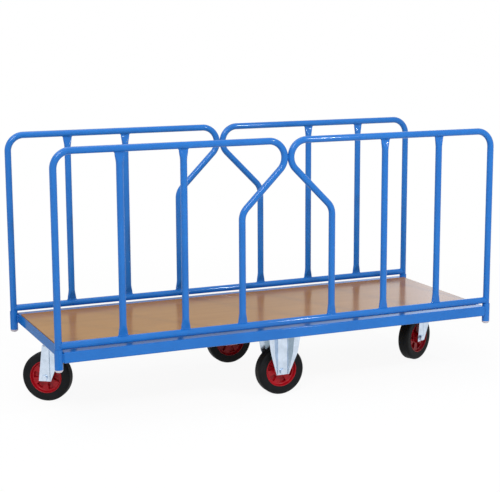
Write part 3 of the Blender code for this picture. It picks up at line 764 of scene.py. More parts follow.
# Weld beads: shares of a bead's radius for its ripples, its ends and the thinner beads, and counts of ripples
RING_RIPPLE = 0.16
LINE_RIPPLE = 0.14
BEAD_END = 0.6
THIN_BEAD = 0.8
FLAT_RIPPLES = 26
SADDLE_RIPPLES = 24
RIPPLES_IN_RADIUS = 1.6
FEWEST_RIPPLES = 4


def bead_ring(path, radius, ripples):
    """A closed weld bead. path gives the seam's point, the way out and the way up for each angle."""
    bm = bmesh.new()
    lie = Matrix.Translation((1, 0, 0)) @ Matrix.Rotation(QUARTER_TURN, 4, "X")
    bmesh.ops.create_circle(bm, segments=BEAD_SIDES, radius=radius, matrix=lie)
    spin_round(bm, 2 * TURN_STEPS)
    for vert in bm.verts:
        angle = math.atan2(vert.co.y, vert.co.x)
        point, out, up = path(angle)
        swell = 1 + RING_RIPPLE * math.cos(ripples * angle)
        vert.co = point + (out * (vert.co.xy.length - 1) + up * vert.co.z) * swell
    return bm


def bead_line(start, end, radius):
    """A straight weld bead with a rippled back."""
    start = Vector(start)
    end = Vector(end)
    along = end - start
    steps = max(FEWEST_RIPPLES, round(along.length / radius * RIPPLES_IN_RADIUS))
    bm = bmesh.new()
    bmesh.ops.create_circle(bm, cap_ends=True, segments=BEAD_SIDES, radius=radius * BEAD_END,
                            matrix=Matrix.Translation(start) @ turn_to(along))
    rim = bm.edges[:]
    for step in range(1, steps + 1):
        made = bmesh.ops.extrude_edge_only(bm, edges=rim)
        verts = moved_verts(made)
        centre = start + along * (step / steps)
        bmesh.ops.translate(bm, vec=along / steps, verts=verts)
        reach = radius * (BEAD_END if step == steps else 1.0 + LINE_RIPPLE * (-1) ** step)
        for vert in verts:
            vert.co = centre + (vert.co - centre).normalized() * reach
        rim = edges_of(made["geom"])
    bmesh.ops.edgeloop_fill(bm, edges=rim)
    return bm


def flat_bead(x, z, tubes):
    """The bead round a squashed tube end at x and z."""
    lean = 0.2

    def path(angle):
        across, out = flat_point(angle, 1.0, tubes)
        way = Vector((across * lean, out, 0)).normalized()
        return Vector((x + across, out, z)), way, Vector((0, 0, 1))

    return bead_ring(path, tubes.bead_r, FLAT_RIPPLES)


def saddle_bead(end, tubes):
    """The bead round the rail where it meets the leg at one end."""

    def path(angle):
        out = Vector((0, math.sin(angle), math.cos(angle)))
        y = TUBE_R * math.sin(angle)
        point = Vector((end * (LEG_X - leg_hollow(y)), y, RAIL_Z + TUBE_R * math.cos(angle)))
        return point, out, Vector((-end, 0, 0))

    return bead_ring(path, tubes.bead_r * THIN_BEAD, SADDLE_RIPPLES)


# Platform
def rim_shape(half_length, ledge, platform):
    """A rim member along X with its outer face at y = 0, its flange towards +Y and its ends mitred.

    It is an angle, or a channel where the ledge beside the deck is wider than the wall.
    """
    wall = platform.angle_t
    ledge_low = PLATFORM_TOP - 1.5 * wall
    profile = [
        (0.0, PLATFORM_UNDER, platform.outer_bend),
        (FLANGE, PLATFORM_UNDER),
        (FLANGE, PLATFORM_UNDER + wall),
        (wall, PLATFORM_UNDER + wall, platform.angle_root),
    ]
    if ledge > wall:
        under = PLATFORM_TOP - wall
        profile += [(wall, under, platform.angle_root), (ledge, under), (ledge, PLATFORM_TOP)]
        profile.append((0.0, PLATFORM_TOP, platform.outer_bend))
    else:
        profile += [(wall, PLATFORM_TOP), (0.0, PLATFORM_TOP)]
    bm = outline(profile)
    shifted(bm, Matrix.Translation((-1, 0, 0)) @ Matrix.Rotation(QUARTER_TURN, 4, "Z"))
    pulled(bm, (2, 0, 0))
    # The ledge is mitred over the wall alone, because the members at its ends have none
    for vert in bm.verts:
        inset = min(vert.co.y, wall) if vert.co.z > ledge_low else vert.co.y
        vert.co.x *= half_length - inset - platform.seam
    return eased(bm, platform.edge, RIM_EDGE_OVER)


def socket_shape(platform):
    """A corner socket round the Z axis, its rims eased."""
    low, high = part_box("corner_socket_rear_right")
    outer = (high.x - low.x) / 2
    bore = outer - platform.socket_wall
    ease = platform.edge / 1.5
    return turned([(bore, low.z, ease), (outer, low.z, ease), (outer, high.z, ease), (bore, high.z, ease)])


def plug_shape(platform):
    """The plug under a socket, round the Z axis: a rim, a tapered tip and a stem up the bore."""
    low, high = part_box("socket_plug_rear_right")
    rim = (high.x - low.x) / 2
    stem = rim - platform.socket_wall - platform.seam
    seat = high.z - platform.plug_stem - platform.seam
    rim_share = 0.45
    tip_round = 0.0025
    rim_round = 0.003
    seat_ease = 0.0006
    stem_ease = 0.001
    return turned([
        (0.0, low.z),
        (platform.plug_tip / 2, low.z, tip_round),
        (rim, seat - (seat - low.z) * rim_share, rim_round),
        (rim, seat, seat_ease),
        (stem, seat),
        (stem, high.z, stem_ease),
        (0.0, high.z),
    ])


def drawn_section(profile, low, high, platform):
    """A steel section across the platform, from the lowest to the highest corner's Y."""
    bm = shifted(outline(profile), Matrix.Translation((0, low.y, 0)))
    pulled(bm, (0, high.y - low.y, 0))
    return eased(bm, platform.edge / 2, CORNER_OVER)


def channel_shape(node, platform):
    """A caster channel across the platform, folded from sheet and open upwards."""
    low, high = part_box(node)
    wall = platform.channel_t
    bend = platform.channel_bend
    inner = bend - wall
    profile = [
        (low.x, low.z, bend),
        (high.x, low.z, bend),
        (high.x, high.z),
        (high.x - wall, high.z),
        (high.x - wall, low.z + wall, inner),
        (low.x + wall, low.z + wall, inner),
        (low.x + wall, high.z),
        (low.x, high.z),
    ]
    return drawn_section(profile, low, high, platform)


def cross_shape(node, platform):
    """A box-section cross member with rounded corners."""
    low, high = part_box(node)
    corners = ((low.x, low.z), (high.x, low.z), (high.x, high.z), (low.x, high.z))
    profile = [(*corner, platform.cross_corner) for corner in corners]
    return drawn_section(profile, low, high, platform)


# Casters: a channel's web with its gaps, chamfers, and washers as shares of the heads across their flats
CHANNEL_WEB = 0.0046
BOLT_CHAMFER = 0.0008
AXLE_CHAMFER = 0.0010
BOLT_WASHER = 1.28
AXLE_WASHER = 1.25


def plate_under(casters):
    """Height of the top plates' underside, which the bolt heads hang from."""
    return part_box("swivel_plate_left")[0].z + casters.bolt_head


def top_plate(size_x, size_y, casters):
    """A caster's top plate round the Z axis, with rounded corners and eased edges."""
    under = plate_under(casters)
    top = under + casters.plate_t
    bm = box_shape((-size_x / 2, -size_y / 2, under), (size_x / 2, size_y / 2, top))
    upright = [edge for edge in bm.edges if height_of(edge) > TINY]
    rounded(bm, upright, casters.plate_corner, CORNER_STEPS)
    return eased(bm, SHEET_EASE, CORNER_OVER)


def washer_shape(inner_d, outer_d, low_z, high_z):
    """A washer round the Z axis."""
    ease = (high_z - low_z) / 3
    return turned([
        (inner_d / 2, low_z),
        (outer_d / 2, low_z, ease),
        (outer_d / 2, high_z, ease),
        (inner_d / 2, high_z),
    ])


def caster_bolt(x, y, casters):
    """A caster bolt at x and y: washer and head below the plate, shank, and nut above the channel's web."""
    under = plate_under(casters)
    seat = under - casters.washer_t
    web_top = under + casters.plate_t + CHANNEL_WEB
    shank = casters.bolt_d / 2
    parts = (
        washer_shape(casters.bolt_d, casters.bolt_af * BOLT_WASHER, seat, under),
        hexagon_shape(casters.bolt_af, under - casters.bolt_head, seat, BOLT_CHAMFER),
        turned([(0, seat), (shank, seat), (shank, web_top), (0, web_top)], BOLT_STEPS),
        hexagon_shape(casters.bolt_af, web_top, web_top + casters.bolt_nut, BOLT_CHAMFER),
    )
    return shifted(joined(*parts), Matrix.Translation((x, y, 0)))


def caster_bolts(along, across, casters):
    """Four caster bolts, spaced along X and Y."""
    shapes = []
    for x in (-along / 2, along / 2):
        for y in (-across / 2, across / 2):
            shapes.append(caster_bolt(x, y, casters))
    return shapes


def fold_place(crease, edge, casters):
    """Where the fold of a wing lies that runs from a crease to an edge."""
    start = crease + math.copysign(casters.crease, edge - crease)
    return start + casters.fold_share * (edge - start)


def wing_rise(out, reach, casters):
    """How far a wing has flared at a distance from its crease, where a flat wing would have flared by out."""
    start = casters.crease + casters.fold_share * (reach - casters.crease)
    slope = (reach - casters.fold_gain * start) / (reach - start)
    return max(casters.fold_gain * min(out, start) + slope * max(out - start, 0.0), 0.0)


def pressed_leg(side, rows, creases, flare, casters):
    """A pressed fork leg on one side of the wheel: a flat panel with creased wings that flare outwards.

    rows are (z, lead edge, back edge), from the top. The panel lies between the first and the last crease, or
    runs to the back edge where there is only one. The creases fade out towards the foot.
    """
    panel_end = creases[1] if len(creases) > 1 else math.inf
    columns = 3 + 3 * len(creases) + (len(creases) > 1)
    bm = bmesh.new()
    bmesh.ops.create_grid(bm, x_segments=columns - 1, y_segments=len(rows) - 1, size=1.0)
    for vert in bm.verts:
        z, lead, back = rows[round((1 - vert.co.y) / 2 * (len(rows) - 1))]
        places = [lead, fold_place(creases[0], lead, casters)]
        for crease in creases:
            places += [crease - casters.crease, crease, crease + casters.crease]
        if len(creases) > 1:
            places.append(fold_place(panel_end, back, casters))
        places.append(back)
        x = places[round((vert.co.x + 1) / 2 * (columns - 1))]
        out = wing_rise(creases[0] - x, creases[0] - lead, casters)
        if len(creases) > 1:
            out = max(out, wing_rise(x - panel_end, back - panel_end, casters))
        vert.co = (x, side * (casters.inside / 2 + out * math.tan(flare)), z)
    inner = {tuple(vert.co) for vert in bm.verts}
    pulled(bm, (0, side * casters.sheet_t, 0))
    foot_z = rows[-1][0]
    facing = 0.5
    for vert in bm.verts:
        near = min(abs(vert.co.x - crease) for crease in creases)
        if near < TINY and vert.co.z > foot_z + TINY and tuple(vert.co) not in inner:
            vert.co.y -= side * casters.crease_depth
    corners = [
        edge for edge in bm.edges
        if all(abs(vert.co.z - foot_z) < TINY for vert in edge.verts)
        and abs(edge.verts[0].co.x - edge.verts[1].co.x) < TINY
        and all(abs(face.normal.y) < facing for face in edge.link_faces)
    ]
    rounded(bm, corners, casters.foot_corner, CORNER_STEPS)
    folds = [
        edge for edge in sharp_edges(bm, FOLD_OVER)
        if all(abs(face.normal.y) > facing for face in edge.link_faces)
        and height_of(edge) > casters.foot_corner
    ]
    rounded(bm, folds, casters.crease_ease)
    return eased(bm, SHEET_EASE, CORNER_OVER)


def fixed_fork(casters):
    """A fixed caster's bracket about the wheel's middle: top plate, bolts and two creased legs."""
    under = plate_under(casters)
    axle_z = JOINT["wheel_front_spin"]["pos_m"][2]
    panel = casters.fixed_panel / 2
    rows = [
        (under + casters.plate_t / 2, -casters.fixed_top / 2, casters.fixed_top / 2),
        (under - casters.fixed_knee_drop, -casters.fixed_knee / 2, casters.fixed_knee / 2),
        (axle_z - casters.foot, -casters.fixed_foot / 2, casters.fixed_foot / 2),
    ]
    legs = [pressed_leg(side, rows, (-panel, panel), casters.fixed_flare, casters) for side in (-1, 1)]
    plate = top_plate(casters.plate_long, casters.plate_short, casters)
    return joined(plate, *legs, *caster_bolts(casters.bolt_long, casters.fixed_bolt, casters))


def swivel_fork(casters, trail):
    """A swivel caster's fork about its swivel axis, with the wheel trailing towards +X."""
    crown_top = JOINT["swivel_left_turn"]["pos_m"][2]
    crown_low = crown_top - casters.crown_t
    axle_z = JOINT["wheel_left_spin"]["pos_m"][2]
    crease = trail - casters.swivel_crease
    rows = [
        ((crown_top + crown_low) / 2, casters.swivel_lead_top, trail + casters.swivel_tail_top),
        (axle_z - casters.foot, trail - casters.swivel_lead_foot, trail + casters.swivel_tail_foot),
    ]
    legs = [pressed_leg(side, rows, (crease,), casters.swivel_flare, casters) for side in (-1, 1)]
    outer = casters.inside / 2 + casters.sheet_t
    wide = outer + (crease - casters.swivel_lead_top) * math.tan(casters.swivel_flare)
    lead = casters.swivel_lead_top
    back = trail + casters.swivel_tail_top
    corner = 0.004
    shoulder_share = 0.8
    crown = outline([
        (lead, -wide, corner),
        (crease, -outer),
        (back, -outer, corner),
        (back, outer, corner),
        (crease, outer),
        (lead, wide, corner),
    ])
    shifted(crown, Matrix.Translation((0, 0, crown_low)) @ Matrix.Rotation(QUARTER_TURN, 4, "X"))
    pulled(crown, (0, 0, casters.crown_t))
    shoulder = [
        edge for edge in sharp_edges(crown, CORNER_OVER)
        if all(vert.co.z > crown_top - TINY for vert in edge.verts)
    ]
    rounded(crown, shoulder, casters.crown_t * shoulder_share, CORNER_STEPS)
    bore = 0.009
    low_ease = 0.0012
    top_ease = 0.0022
    disc = turned([
        (bore, crown_low),
        (casters.crown_d / 2, crown_low, low_ease),
        (casters.crown_d / 2, crown_top, top_ease),
        (bore, crown_top),
    ])
    return joined(crown, disc, *legs)


def swivel_plate(casters):
    """A swivel caster's top plate with its bolts, about its swivel axis."""
    plate = top_plate(casters.plate_short, casters.plate_long, casters)
    return joined(plate, *caster_bolts(casters.swivel_bolt, casters.bolt_long, casters))


def kingpin(node):
    """A kingpin about its axis, with a rounded head under the crown."""
    low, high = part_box(node)
    head = (high.x - low.x) / 2
    shank = 0.008
    head_top = low.z + 0.007
    head_round = 0.003
    head_ease = 0.0006
    end_ease = 0.001
    return turned([
        (0.0, low.z),
        (head, low.z, head_round),
        (head, head_top, head_ease),
        (shank, head_top),
        (shank, high.z, end_ease),
        (0.0, high.z),
    ])


def bearing_ring(node):
    """The double ball race between top plate and crown, with a groove between its cups."""
    low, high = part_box(node)
    outer = (high.x - low.x) / 2
    bore = 0.0083
    groove = outer - 0.004
    half_gap = 0.0009
    groove_low = (low.z + high.z) / 2 - half_gap
    groove_high = (low.z + high.z) / 2 + half_gap
    cup_round = 0.0015
    groove_ease = 0.0008
    return turned([
        (bore, low.z),
        (outer, low.z, cup_round),
        (outer, groove_low, groove_ease),
        (groove, groove_low),
        (groove, groove_high),
        (outer, groove_high, groove_ease),
        (outer, high.z, cup_round),
        (bore, high.z),
    ])


def axle_shape(casters):
    """An axle bolt along Z, with a washer and a hexagon at each end."""
    seat = casters.inside / 2 + casters.sheet_t + FIT_GAP
    far = seat + casters.axle_head
    inner = seat + casters.washer_t
    shank = casters.axle_d / 2
    washer_d = casters.axle_af * AXLE_WASHER
    tip = far - 0.0005
    tip_ease = 0.001
    nut_top = far - 0.0012
    return joined(
        turned([(0, -seat), (shank, -seat), (shank, tip, tip_ease), (0, tip)], BOLT_STEPS),
        washer_shape(casters.axle_d, washer_d, seat, inner),
        washer_shape(casters.axle_d, washer_d, -inner, -seat),
        hexagon_shape(casters.axle_af, inner, nut_top, AXLE_CHAMFER),
        hexagon_shape(casters.axle_af, -far, -inner, AXLE_CHAMFER),
    )


# Wheels
def tyre_shape(wheels):
    """A tyre round the Z axis, with grooves round its tread and a bead at the rim."""
    radius = wheels.wheel_d / 2
    half = wheels.tyre_width / 2
    foot = wheels.centre_d / 2 + FIT_GAP
    side = half - wheels.lip_inset
    seat = -side - FIT_GAP
    bead_end = foot - wheels.bead
    bead_top = seat - wheels.bead_t
    bead_root = foot + 0.0025
    wall_foot = foot + 0.006
    wall_inset = 0.0006
    wall_end = radius - wheels.shoulder * 1.15
    bead_ease = 0.0007
    root_ease = 0.001
    wall_round = 0.004
    groove = wheels.groove
    tread = []
    for number in (-1, 0, 1):
        middle = number * wheels.groove_pitch
        tread += [
            (radius, middle - groove / 2),
            (radius - groove, middle - groove / 4),
            (radius - groove, middle + groove / 4),
            (radius, middle + groove / 2),
        ]
    points = [
        (foot, -side),
        (foot, seat),
        (bead_end, seat),
        (bead_end, bead_top, bead_ease),
        (bead_root, bead_top, root_ease),
        (wall_foot, -half + wall_inset, root_ease),
        (wall_end, -half, wall_round),
        (radius, -half, wheels.shoulder),
    ]
    return turned(points + tread + mirrored(points), WHEEL_STEPS)


def centre_shape(wheels):
    """A wheel centre round the Z axis: lipped rim, web with pockets on both faces, and hub."""
    rim = wheels.centre_d / 2
    side = wheels.tyre_width / 2 - wheels.lip_inset
    ridge_top = side + wheels.ridge
    lip = rim - wheels.lip
    hub = wheels.hub_d / 2
    hub_end = wheels.hub_length / 2
    bore = wheels.bearing_d / 2 + FIT_GAP
    web = wheels.web
    lip_slope = 0.0054
    hub_slope = 0.003
    ridge_ease = 0.0012
    lip_round = 0.003
    hub_round = 0.002
    hub_ease = 0.0015
    points = [
        (rim, side),
        (rim - wheels.bead, side),
        (rim - wheels.bead, ridge_top, ridge_ease),
        (lip, ridge_top, ridge_ease),
        (lip - lip_slope, web, lip_round),
        (hub + hub_slope, web, hub_round),
        (hub, hub_end, hub_ease),
        (bore, hub_end),
    ]
    bm = turned(points + mirrored(points), WHEEL_STEPS)
    inner = hub + 0.004
    outer = lip - 0.008
    pocket_rim = 0.0012
    pocket_slope = 0.0016
    for face_z in (-web, web):
        for number in range(wheels.pockets):
            faces = pocket_faces(bm, face_z, inner, outer, number, wheels.pockets)
            for thickness, depth in ((pocket_rim, 0.0), (pocket_slope, -wheels.pocket_depth)):
                bmesh.ops.inset_region(bm, faces=faces, thickness=thickness, depth=depth,
                                       use_even_offset=True)
    return bm


def pocket_faces(bm, face_z, inner, outer, number, count):
    """The faces of the web that one pocket takes up."""
    pitch = math.tau / count
    pocket_share = 0.58
    near = 1e-5
    level_over = 0.99
    faces = []
    for face in bm.faces:
        middle = face.calc_center_median()
        if abs(middle.z - face_z) > near or abs(face.normal.z) < level_over:
            continue
        if not inner < middle.xy.length < outer:
            continue
        turn = (math.atan2(middle.y, middle.x) - number * pitch) % math.tau
        if turn < pitch * pocket_share:
            faces.append(face)
    return faces


def sleeve_shape(wheels, casters):
    """The bearing sleeve in a hub."""
    half = wheels.bearing_length / 2
    bore = casters.axle_d / 2 + FIT_GAP
    outer = wheels.bearing_d / 2
    ease = 0.0006
    return turned([(bore, -half), (outer, -half, ease), (outer, half, ease), (bore, half)])


def axle_place(joint):
    """The place of a wheel or axle that is modelled round the Z axis."""
    return Matrix.Translation(joint["pos_m"]) @ turn_to(Vector(joint["axis"]))


def swivel_place(where):
    """The place of a swivel fork, and how far its wheel trails."""
    axis = Vector(JOINT[f"swivel_{where}_turn"]["pos_m"])
    axle = Vector(JOINT[f"wheel_{where}_spin"]["pos_m"])
    way = (axle - axis).xy
    turn = Matrix.Rotation(math.atan2(way.y, way.x), 4, "Z")
    return Matrix.Translation((axis.x, axis.y, 0)) @ turn, way.length


# Stage: colours, places in metres and sizes of what stands round the cart
FLOOR_Z = CAD_BOX[0][2]
FLOOR_SIZE = 60.0
FLOOR_TINT = (0.92, 0.92, 0.92)
FADE_START = 1.0
FADE_END = 3.0
CARD_PLACE = (1.0, 3.2, 1.4)
CARD_SIZE = (6.0, 3.0)
CARD_LEFT_TINT = (0.98, 1.0, 1.0)
CARD_RIGHT_TINT = (0.84, 1.0, 1.22)
FLAG_TINT = (0.8, 0.95, 1.0)
FLAG_Z = FLOOR_Z + 0.001
WHITE = (1.0, 1.0, 1.0)
SENSOR_WIDTH = 36.0
AIM = (0.0, 0.0, 0.5)

# Name, place, turn and size of each dark card on the floor
FLAGS = (
    ("front_flag", (-0.78, -0.95), 0.67, (1.3, 0.6)),
    ("rear_flag", (-1.9, 1.5), 0.0, (1.6, 2.4)),
)

# Name, place and size of each lamp
LAMPS = (
    ("key", (-2.8, -4.2, 4.6), 2.4),
    ("top", (-1.0, 0.3, 3.1), 3.0),
    ("spot", (1.4, -2.5, 2.2), 0.14),
)


def ray_share(sheet):
    """1 for rays that see the background, straight, in a mirror or through glass, and 0 for the rest."""
    rays = ("Is Camera Ray", "Is Glossy Ray", "Is Transmission Ray")
    straight, mirror, through = [sheet.node("ShaderNodeLightPath", {}, {}, ray) for ray in rays]
    return sheet.spread(straight + mirror + through, low=0.0, high=1.0)


def floor_finish(stage):
    """White floor that keeps a faint shadow, and runs into the white surroundings far from the cart."""
    material, sheet = new_finish("floor_finish")
    lit = sheet.node("ShaderNodeBsdfDiffuse", {}, {"Color": rgba(FLOOR_TINT)})
    glow = sheet.node("ShaderNodeEmission", {}, {"Strength": 1.0})
    reach = sheet.node("ShaderNodeVectorMath", {"operation": "LENGTH"}, {0: sheet.place()}, "Value")
    white = stage.floor_glow + (1 - stage.floor_glow) * sheet.spread(reach, FADE_START, FADE_END)
    sheet.surface(sheet.node("ShaderNodeMixShader", {}, {0: white * ray_share(sheet), 1: lit, 2: glow}))
    return material


def card_finish(stage):
    """Glowing card, dark at its left end, bright and a little blue at its right end."""
    material, sheet = new_finish("card_finish")
    along = sheet.node("ShaderNodeSeparateXYZ", {}, {0: sheet.place()}, "X")
    share = sheet.spread(along, stage.card_start, stage.card_end)
    tint = sheet.blend(share, CARD_LEFT_TINT, CARD_RIGHT_TINT)
    square = share * share
    glow = stage.card_low + stage.card_rise * (square * square)
    sheet.surface(sheet.node("ShaderNodeEmission", {}, {"Color": tint, "Strength": glow}))
    return material


def flag_finish(name, glow):
    """Dim card, which parts the faces of bright metal."""
    material, sheet = new_finish(name)
    sheet.surface(sheet.node("ShaderNodeEmission", {}, {"Color": rgba(FLAG_TINT), "Strength": glow}))
    return material


def stage_sheet(name, matrix, size, material):
    """A flat sheet that belongs to the stage, in the XY plane of its matrix."""
    bm = bmesh.new()
    stretched = matrix @ Matrix.Diagonal((*size, 1, 1))
    bmesh.ops.create_grid(bm, x_segments=1, y_segments=1, size=0.5, matrix=stretched)
    mesh = bpy.data.meshes.new(name)
    bm.to_mesh(mesh)
    bm.free()
    mesh.materials.append(material)
    obj = bpy.data.objects.new(name, mesh)
    bpy.context.scene.collection.objects.link(obj)
    return obj


def mirror_card(name, matrix, size, material):
    """A sheet of the stage that only mirrors see."""
    card = stage_sheet(name, matrix, size, material)
    card.visible_camera = False
    card.visible_diffuse = False
    card.visible_shadow = False


def soft_light(name, watts, place, size):
    """A square soft light that faces the cart."""
    lamp = bpy.data.lights.new(name, "AREA")
    lamp.energy = watts
    lamp.size = size
    obj = bpy.data.objects.new(name, lamp)
    obj.location = place
    obj.rotation_euler = (Vector(AIM) - Vector(place)).to_track_quat("-Z", "Y").to_euler()
    bpy.context.scene.collection.objects.link(obj)


def place_camera(scene, stage):
    """Stands the camera where the settings say, and makes it the scene's own."""
    lens = bpy.data.cameras.new("camera")
    lens.lens = stage.lens
    lens.sensor_width = SENSOR_WIDTH
    camera = bpy.data.objects.new("camera", lens)
    across = Vector((math.cos(stage.azimuth), math.sin(stage.azimuth), 0))
    ahead = Vector((-math.sin(stage.azimuth), math.cos(stage.azimuth), 0)) * math.cos(stage.elevation)
    ahead.z = -math.sin(stage.elevation)
    above = across.cross(ahead)
    turn = Matrix((across, above, -ahead)).transposed() @ Matrix.Rotation(stage.roll, 3, "Z")
    camera.matrix_world = Matrix.Translation(stage.camera) @ turn.to_4x4()
    scene.collection.objects.link(camera)
    scene.camera = camera


def light_room(scene, stage):
    """Surrounds the cart with white that lights it more softly than it looks."""
    world = bpy.data.worlds.new("white_room")
    world.use_nodes = True
    sheet = Sheet(world.node_tree)
    strength = stage.ambient + (1 - stage.ambient) * ray_share(sheet)
    room = sheet.node("ShaderNodeBackground", {}, {"Color": rgba(WHITE), "Strength": strength})
    sheet.node("ShaderNodeOutputWorld", {}, {"Surface": room})
    scene.world = world


class CART_OT_stage(bpy.types.Operator):
    """Sets up the camera, the white floor and the soft light"""

    bl_idname = "cart.stage"
    bl_label = "Stage"

    def execute(self, context):
        scene = context.scene
        stage = scene.cart.stage
        scene.view_settings.view_transform = "Standard"
        place_camera(scene, stage)
        light_room(scene, stage)
        lie = Matrix.Translation((0, 0, FLOOR_Z))
        stage_sheet("floor", lie, (FLOOR_SIZE, FLOOR_SIZE), floor_finish(stage))
        stand = Matrix.Translation(CARD_PLACE) @ Matrix.Rotation(QUARTER_TURN, 4, "X")
        mirror_card("card", stand, CARD_SIZE, card_finish(stage))
        for name, place, turn, size in FLAGS:
            lie = Matrix.Translation((*place, FLAG_Z)) @ Matrix.Rotation(turn, 4, "Z")
            mirror_card(name, lie, size, flag_finish(f"{name}_finish", getattr(stage, name)))
        for name, place, size in LAMPS:
            soft_light(f"{name}_light", getattr(stage, name), place, size)
        return {"FINISHED"}


# Pieces, and the places of their weld beads in metres
NOSE_WELD_OUT = 0.004
NOSE_WELD_HALF = 0.009
SOCKET_WELD_SIDE = 0.0115
SOCKET_WELD_OUT = 0.0026
SOCKET_WELD_INSET = 0.004


def middle_x(node):
    """The middle of a CAD node along X."""
    low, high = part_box(node)
    return (low.x + high.x) / 2


def side_place(way, x=0.0):
    """A place in the plane of one tube side, at x along it."""
    return Matrix.Translation((x, way * SIDE_Y, 0))


class CART_OT_hoops(bpy.types.Operator):
    """Bends the four tube hoops of the sides"""

    bl_idname = "cart.hoops"
    bl_label = "Hoops"

    def execute(self, context):
        shape = hoop_shape(context.scene.cart.tubes)
        for side, way in LONG_SIDES:
            dress(shape, f"hoop_{side}_right", side_place(way))
            dress(shape, f"hoop_{side}_left", side_place(way) @ Matrix.Rotation(math.pi, 4, "Z"))
        shape.free()
        return {"FINISHED"}


class CART_OT_bars(bpy.types.Operator):
    """Makes the upright bars, pressed flat at both ends"""

    bl_idname = "cart.bars"
    bl_label = "Bars"

    def execute(self, context):
        shape = bar_shape(context.scene.cart.tubes)
        for side, way in LONG_SIDES:
            for number in BAR_NUMBERS:
                node = f"bar_{side}_{number}"
                dress(shape, node, side_place(way, middle_x(node)))
        shape.free()
        return {"FINISHED"}


class CART_OT_rails(bpy.types.Operator):
    """Makes the lower rails, cut to sit round the legs"""

    bl_idname = "cart.rails"
    bl_label = "Lower rails"

    def execute(self, context):
        shape = rail_shape()
        for side, way in LONG_SIDES:
            dress(shape, f"lower_rail_{side}", side_place(way))
        shape.free()
        return {"FINISHED"}


class CART_OT_side_welds(bpy.types.Operator):
    """Lays the weld beads of the tube sides"""

    bl_idname = "cart.side_welds"
    bl_label = "Side welds"

    def execute(self, context):
        tubes = context.scene.cart.tubes
        beads = [saddle_bead(end, tubes) for _, end in ENDS]
        for number in BAR_NUMBERS:
            x = middle_x(f"bar_rear_{number}")
            beads += [flat_bead(x, z, tubes) for z in (BAR_FOOT, BAR_HEAD)]
        beads += [flat_bead(end * tubes.inner_x, BAR_FOOT, tubes) for _, end in ENDS]
        nose_z = TOP_Z - tubes.bend_r
        for y in (-NOSE_WELD_OUT, NOSE_WELD_OUT):
            low = (0, y, nose_z - NOSE_WELD_HALF)
            high = (0, y, nose_z + NOSE_WELD_HALF)
            beads.append(bead_line(low, high, tubes.bead_r * THIN_BEAD))
        shape = joined(*beads)
        for side, way in LONG_SIDES:
            publish(shape, f"welds_{side}", f"side_{side}", "blue_paint", side_place(way))
        shape.free()
        return {"FINISHED"}


class CART_OT_rim(bpy.types.Operator):
    """Makes the channels and angles of the platform's rim"""

    bl_idname = "cart.rim"
    bl_label = "Rim"

    def execute(self, context):
        platform = context.scene.cart.platform
        channel = rim_shape(PLATFORM_X, LEDGE, platform)
        angle = rim_shape(PLATFORM_Y, 0.0, platform)
        dress(channel, "side_channel_front", Matrix.Translation((0, -PLATFORM_Y, 0)))
        dress(channel, "side_channel_rear",
              Matrix.Translation((0, PLATFORM_Y, 0)) @ Matrix.Rotation(math.pi, 4, "Z"))
        for end, out in ENDS:
            dress(angle, f"end_angle_{end}",
                  Matrix.Translation((out * PLATFORM_X, 0, 0)) @ Matrix.Rotation(out * QUARTER_TURN, 4, "Z"))
        channel.free()
        angle.free()
        return {"FINISHED"}


class CART_OT_sockets(bpy.types.Operator):
    """Makes the corner sockets, their plugs and the beads that weld them to the rim"""

    bl_idname = "cart.sockets"
    bl_label = "Sockets and plugs"

    def execute(self, context):
        platform = context.scene.cart.platform
        socket = socket_shape(platform)
        plug = plug_shape(platform)
        beads = []
        for side, way in LONG_SIDES:
            for end, out in ENDS:
                place = side_place(way, out * LEG_X)
                dress(socket, f"corner_socket_{side}_{end}", place)
                dress(plug, f"socket_plug_{side}_{end}", place)
                x = out * (PLATFORM_X + SOCKET_WELD_OUT)
                for y in (way * SIDE_Y - SOCKET_WELD_SIDE, way * SIDE_Y + SOCKET_WELD_SIDE):
                    foot = (x, y, PLATFORM_UNDER + SOCKET_WELD_INSET)
                    head = (x, y, PLATFORM_TOP - SOCKET_WELD_INSET)
                    beads.append(bead_line(foot, head, platform.socket_bead))
        socket.free()
        plug.free()
        publish(joined(*beads), "welds_platform", "chassis", "blue_paint")
        return {"FINISHED"}


class CART_OT_deck(bpy.types.Operator):
    """Lays the deck board and the steel members that carry it"""

    bl_idname = "cart.deck"
    bl_label = "Deck and cross members"

    def execute(self, context):
        platform = context.scene.cart.platform
        dress(eased(box_shape(*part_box("deck_board")), platform.deck_edge), "deck_board")
        for where in ("left", "centre", "right"):
            dress(channel_shape(f"caster_channel_{where}", platform), f"caster_channel_{where}")
        for where, _ in ENDS:
            dress(cross_shape(f"cross_member_{where}", platform), f"cross_member_{where}")
        return {"FINISHED"}


class CART_OT_fixed_casters(bpy.types.Operator):
    """Makes the brackets and axles of the fixed casters"""

    bl_idname = "cart.fixed_casters"
    bl_label = "Fixed casters"

    def execute(self, context):
        casters = context.scene.cart.casters
        fork = fixed_fork(casters)
        axle = axle_shape(casters)
        for where, _ in LONG_SIDES:
            joint = JOINT[f"wheel_{where}_spin"]
            dress(fork, f"fixed_fork_{where}", Matrix.Translation((0, joint["pos_m"][1], 0)))
            dress(axle, f"fixed_axle_{where}", axle_place(joint))
        fork.free()
        axle.free()
        return {"FINISHED"}


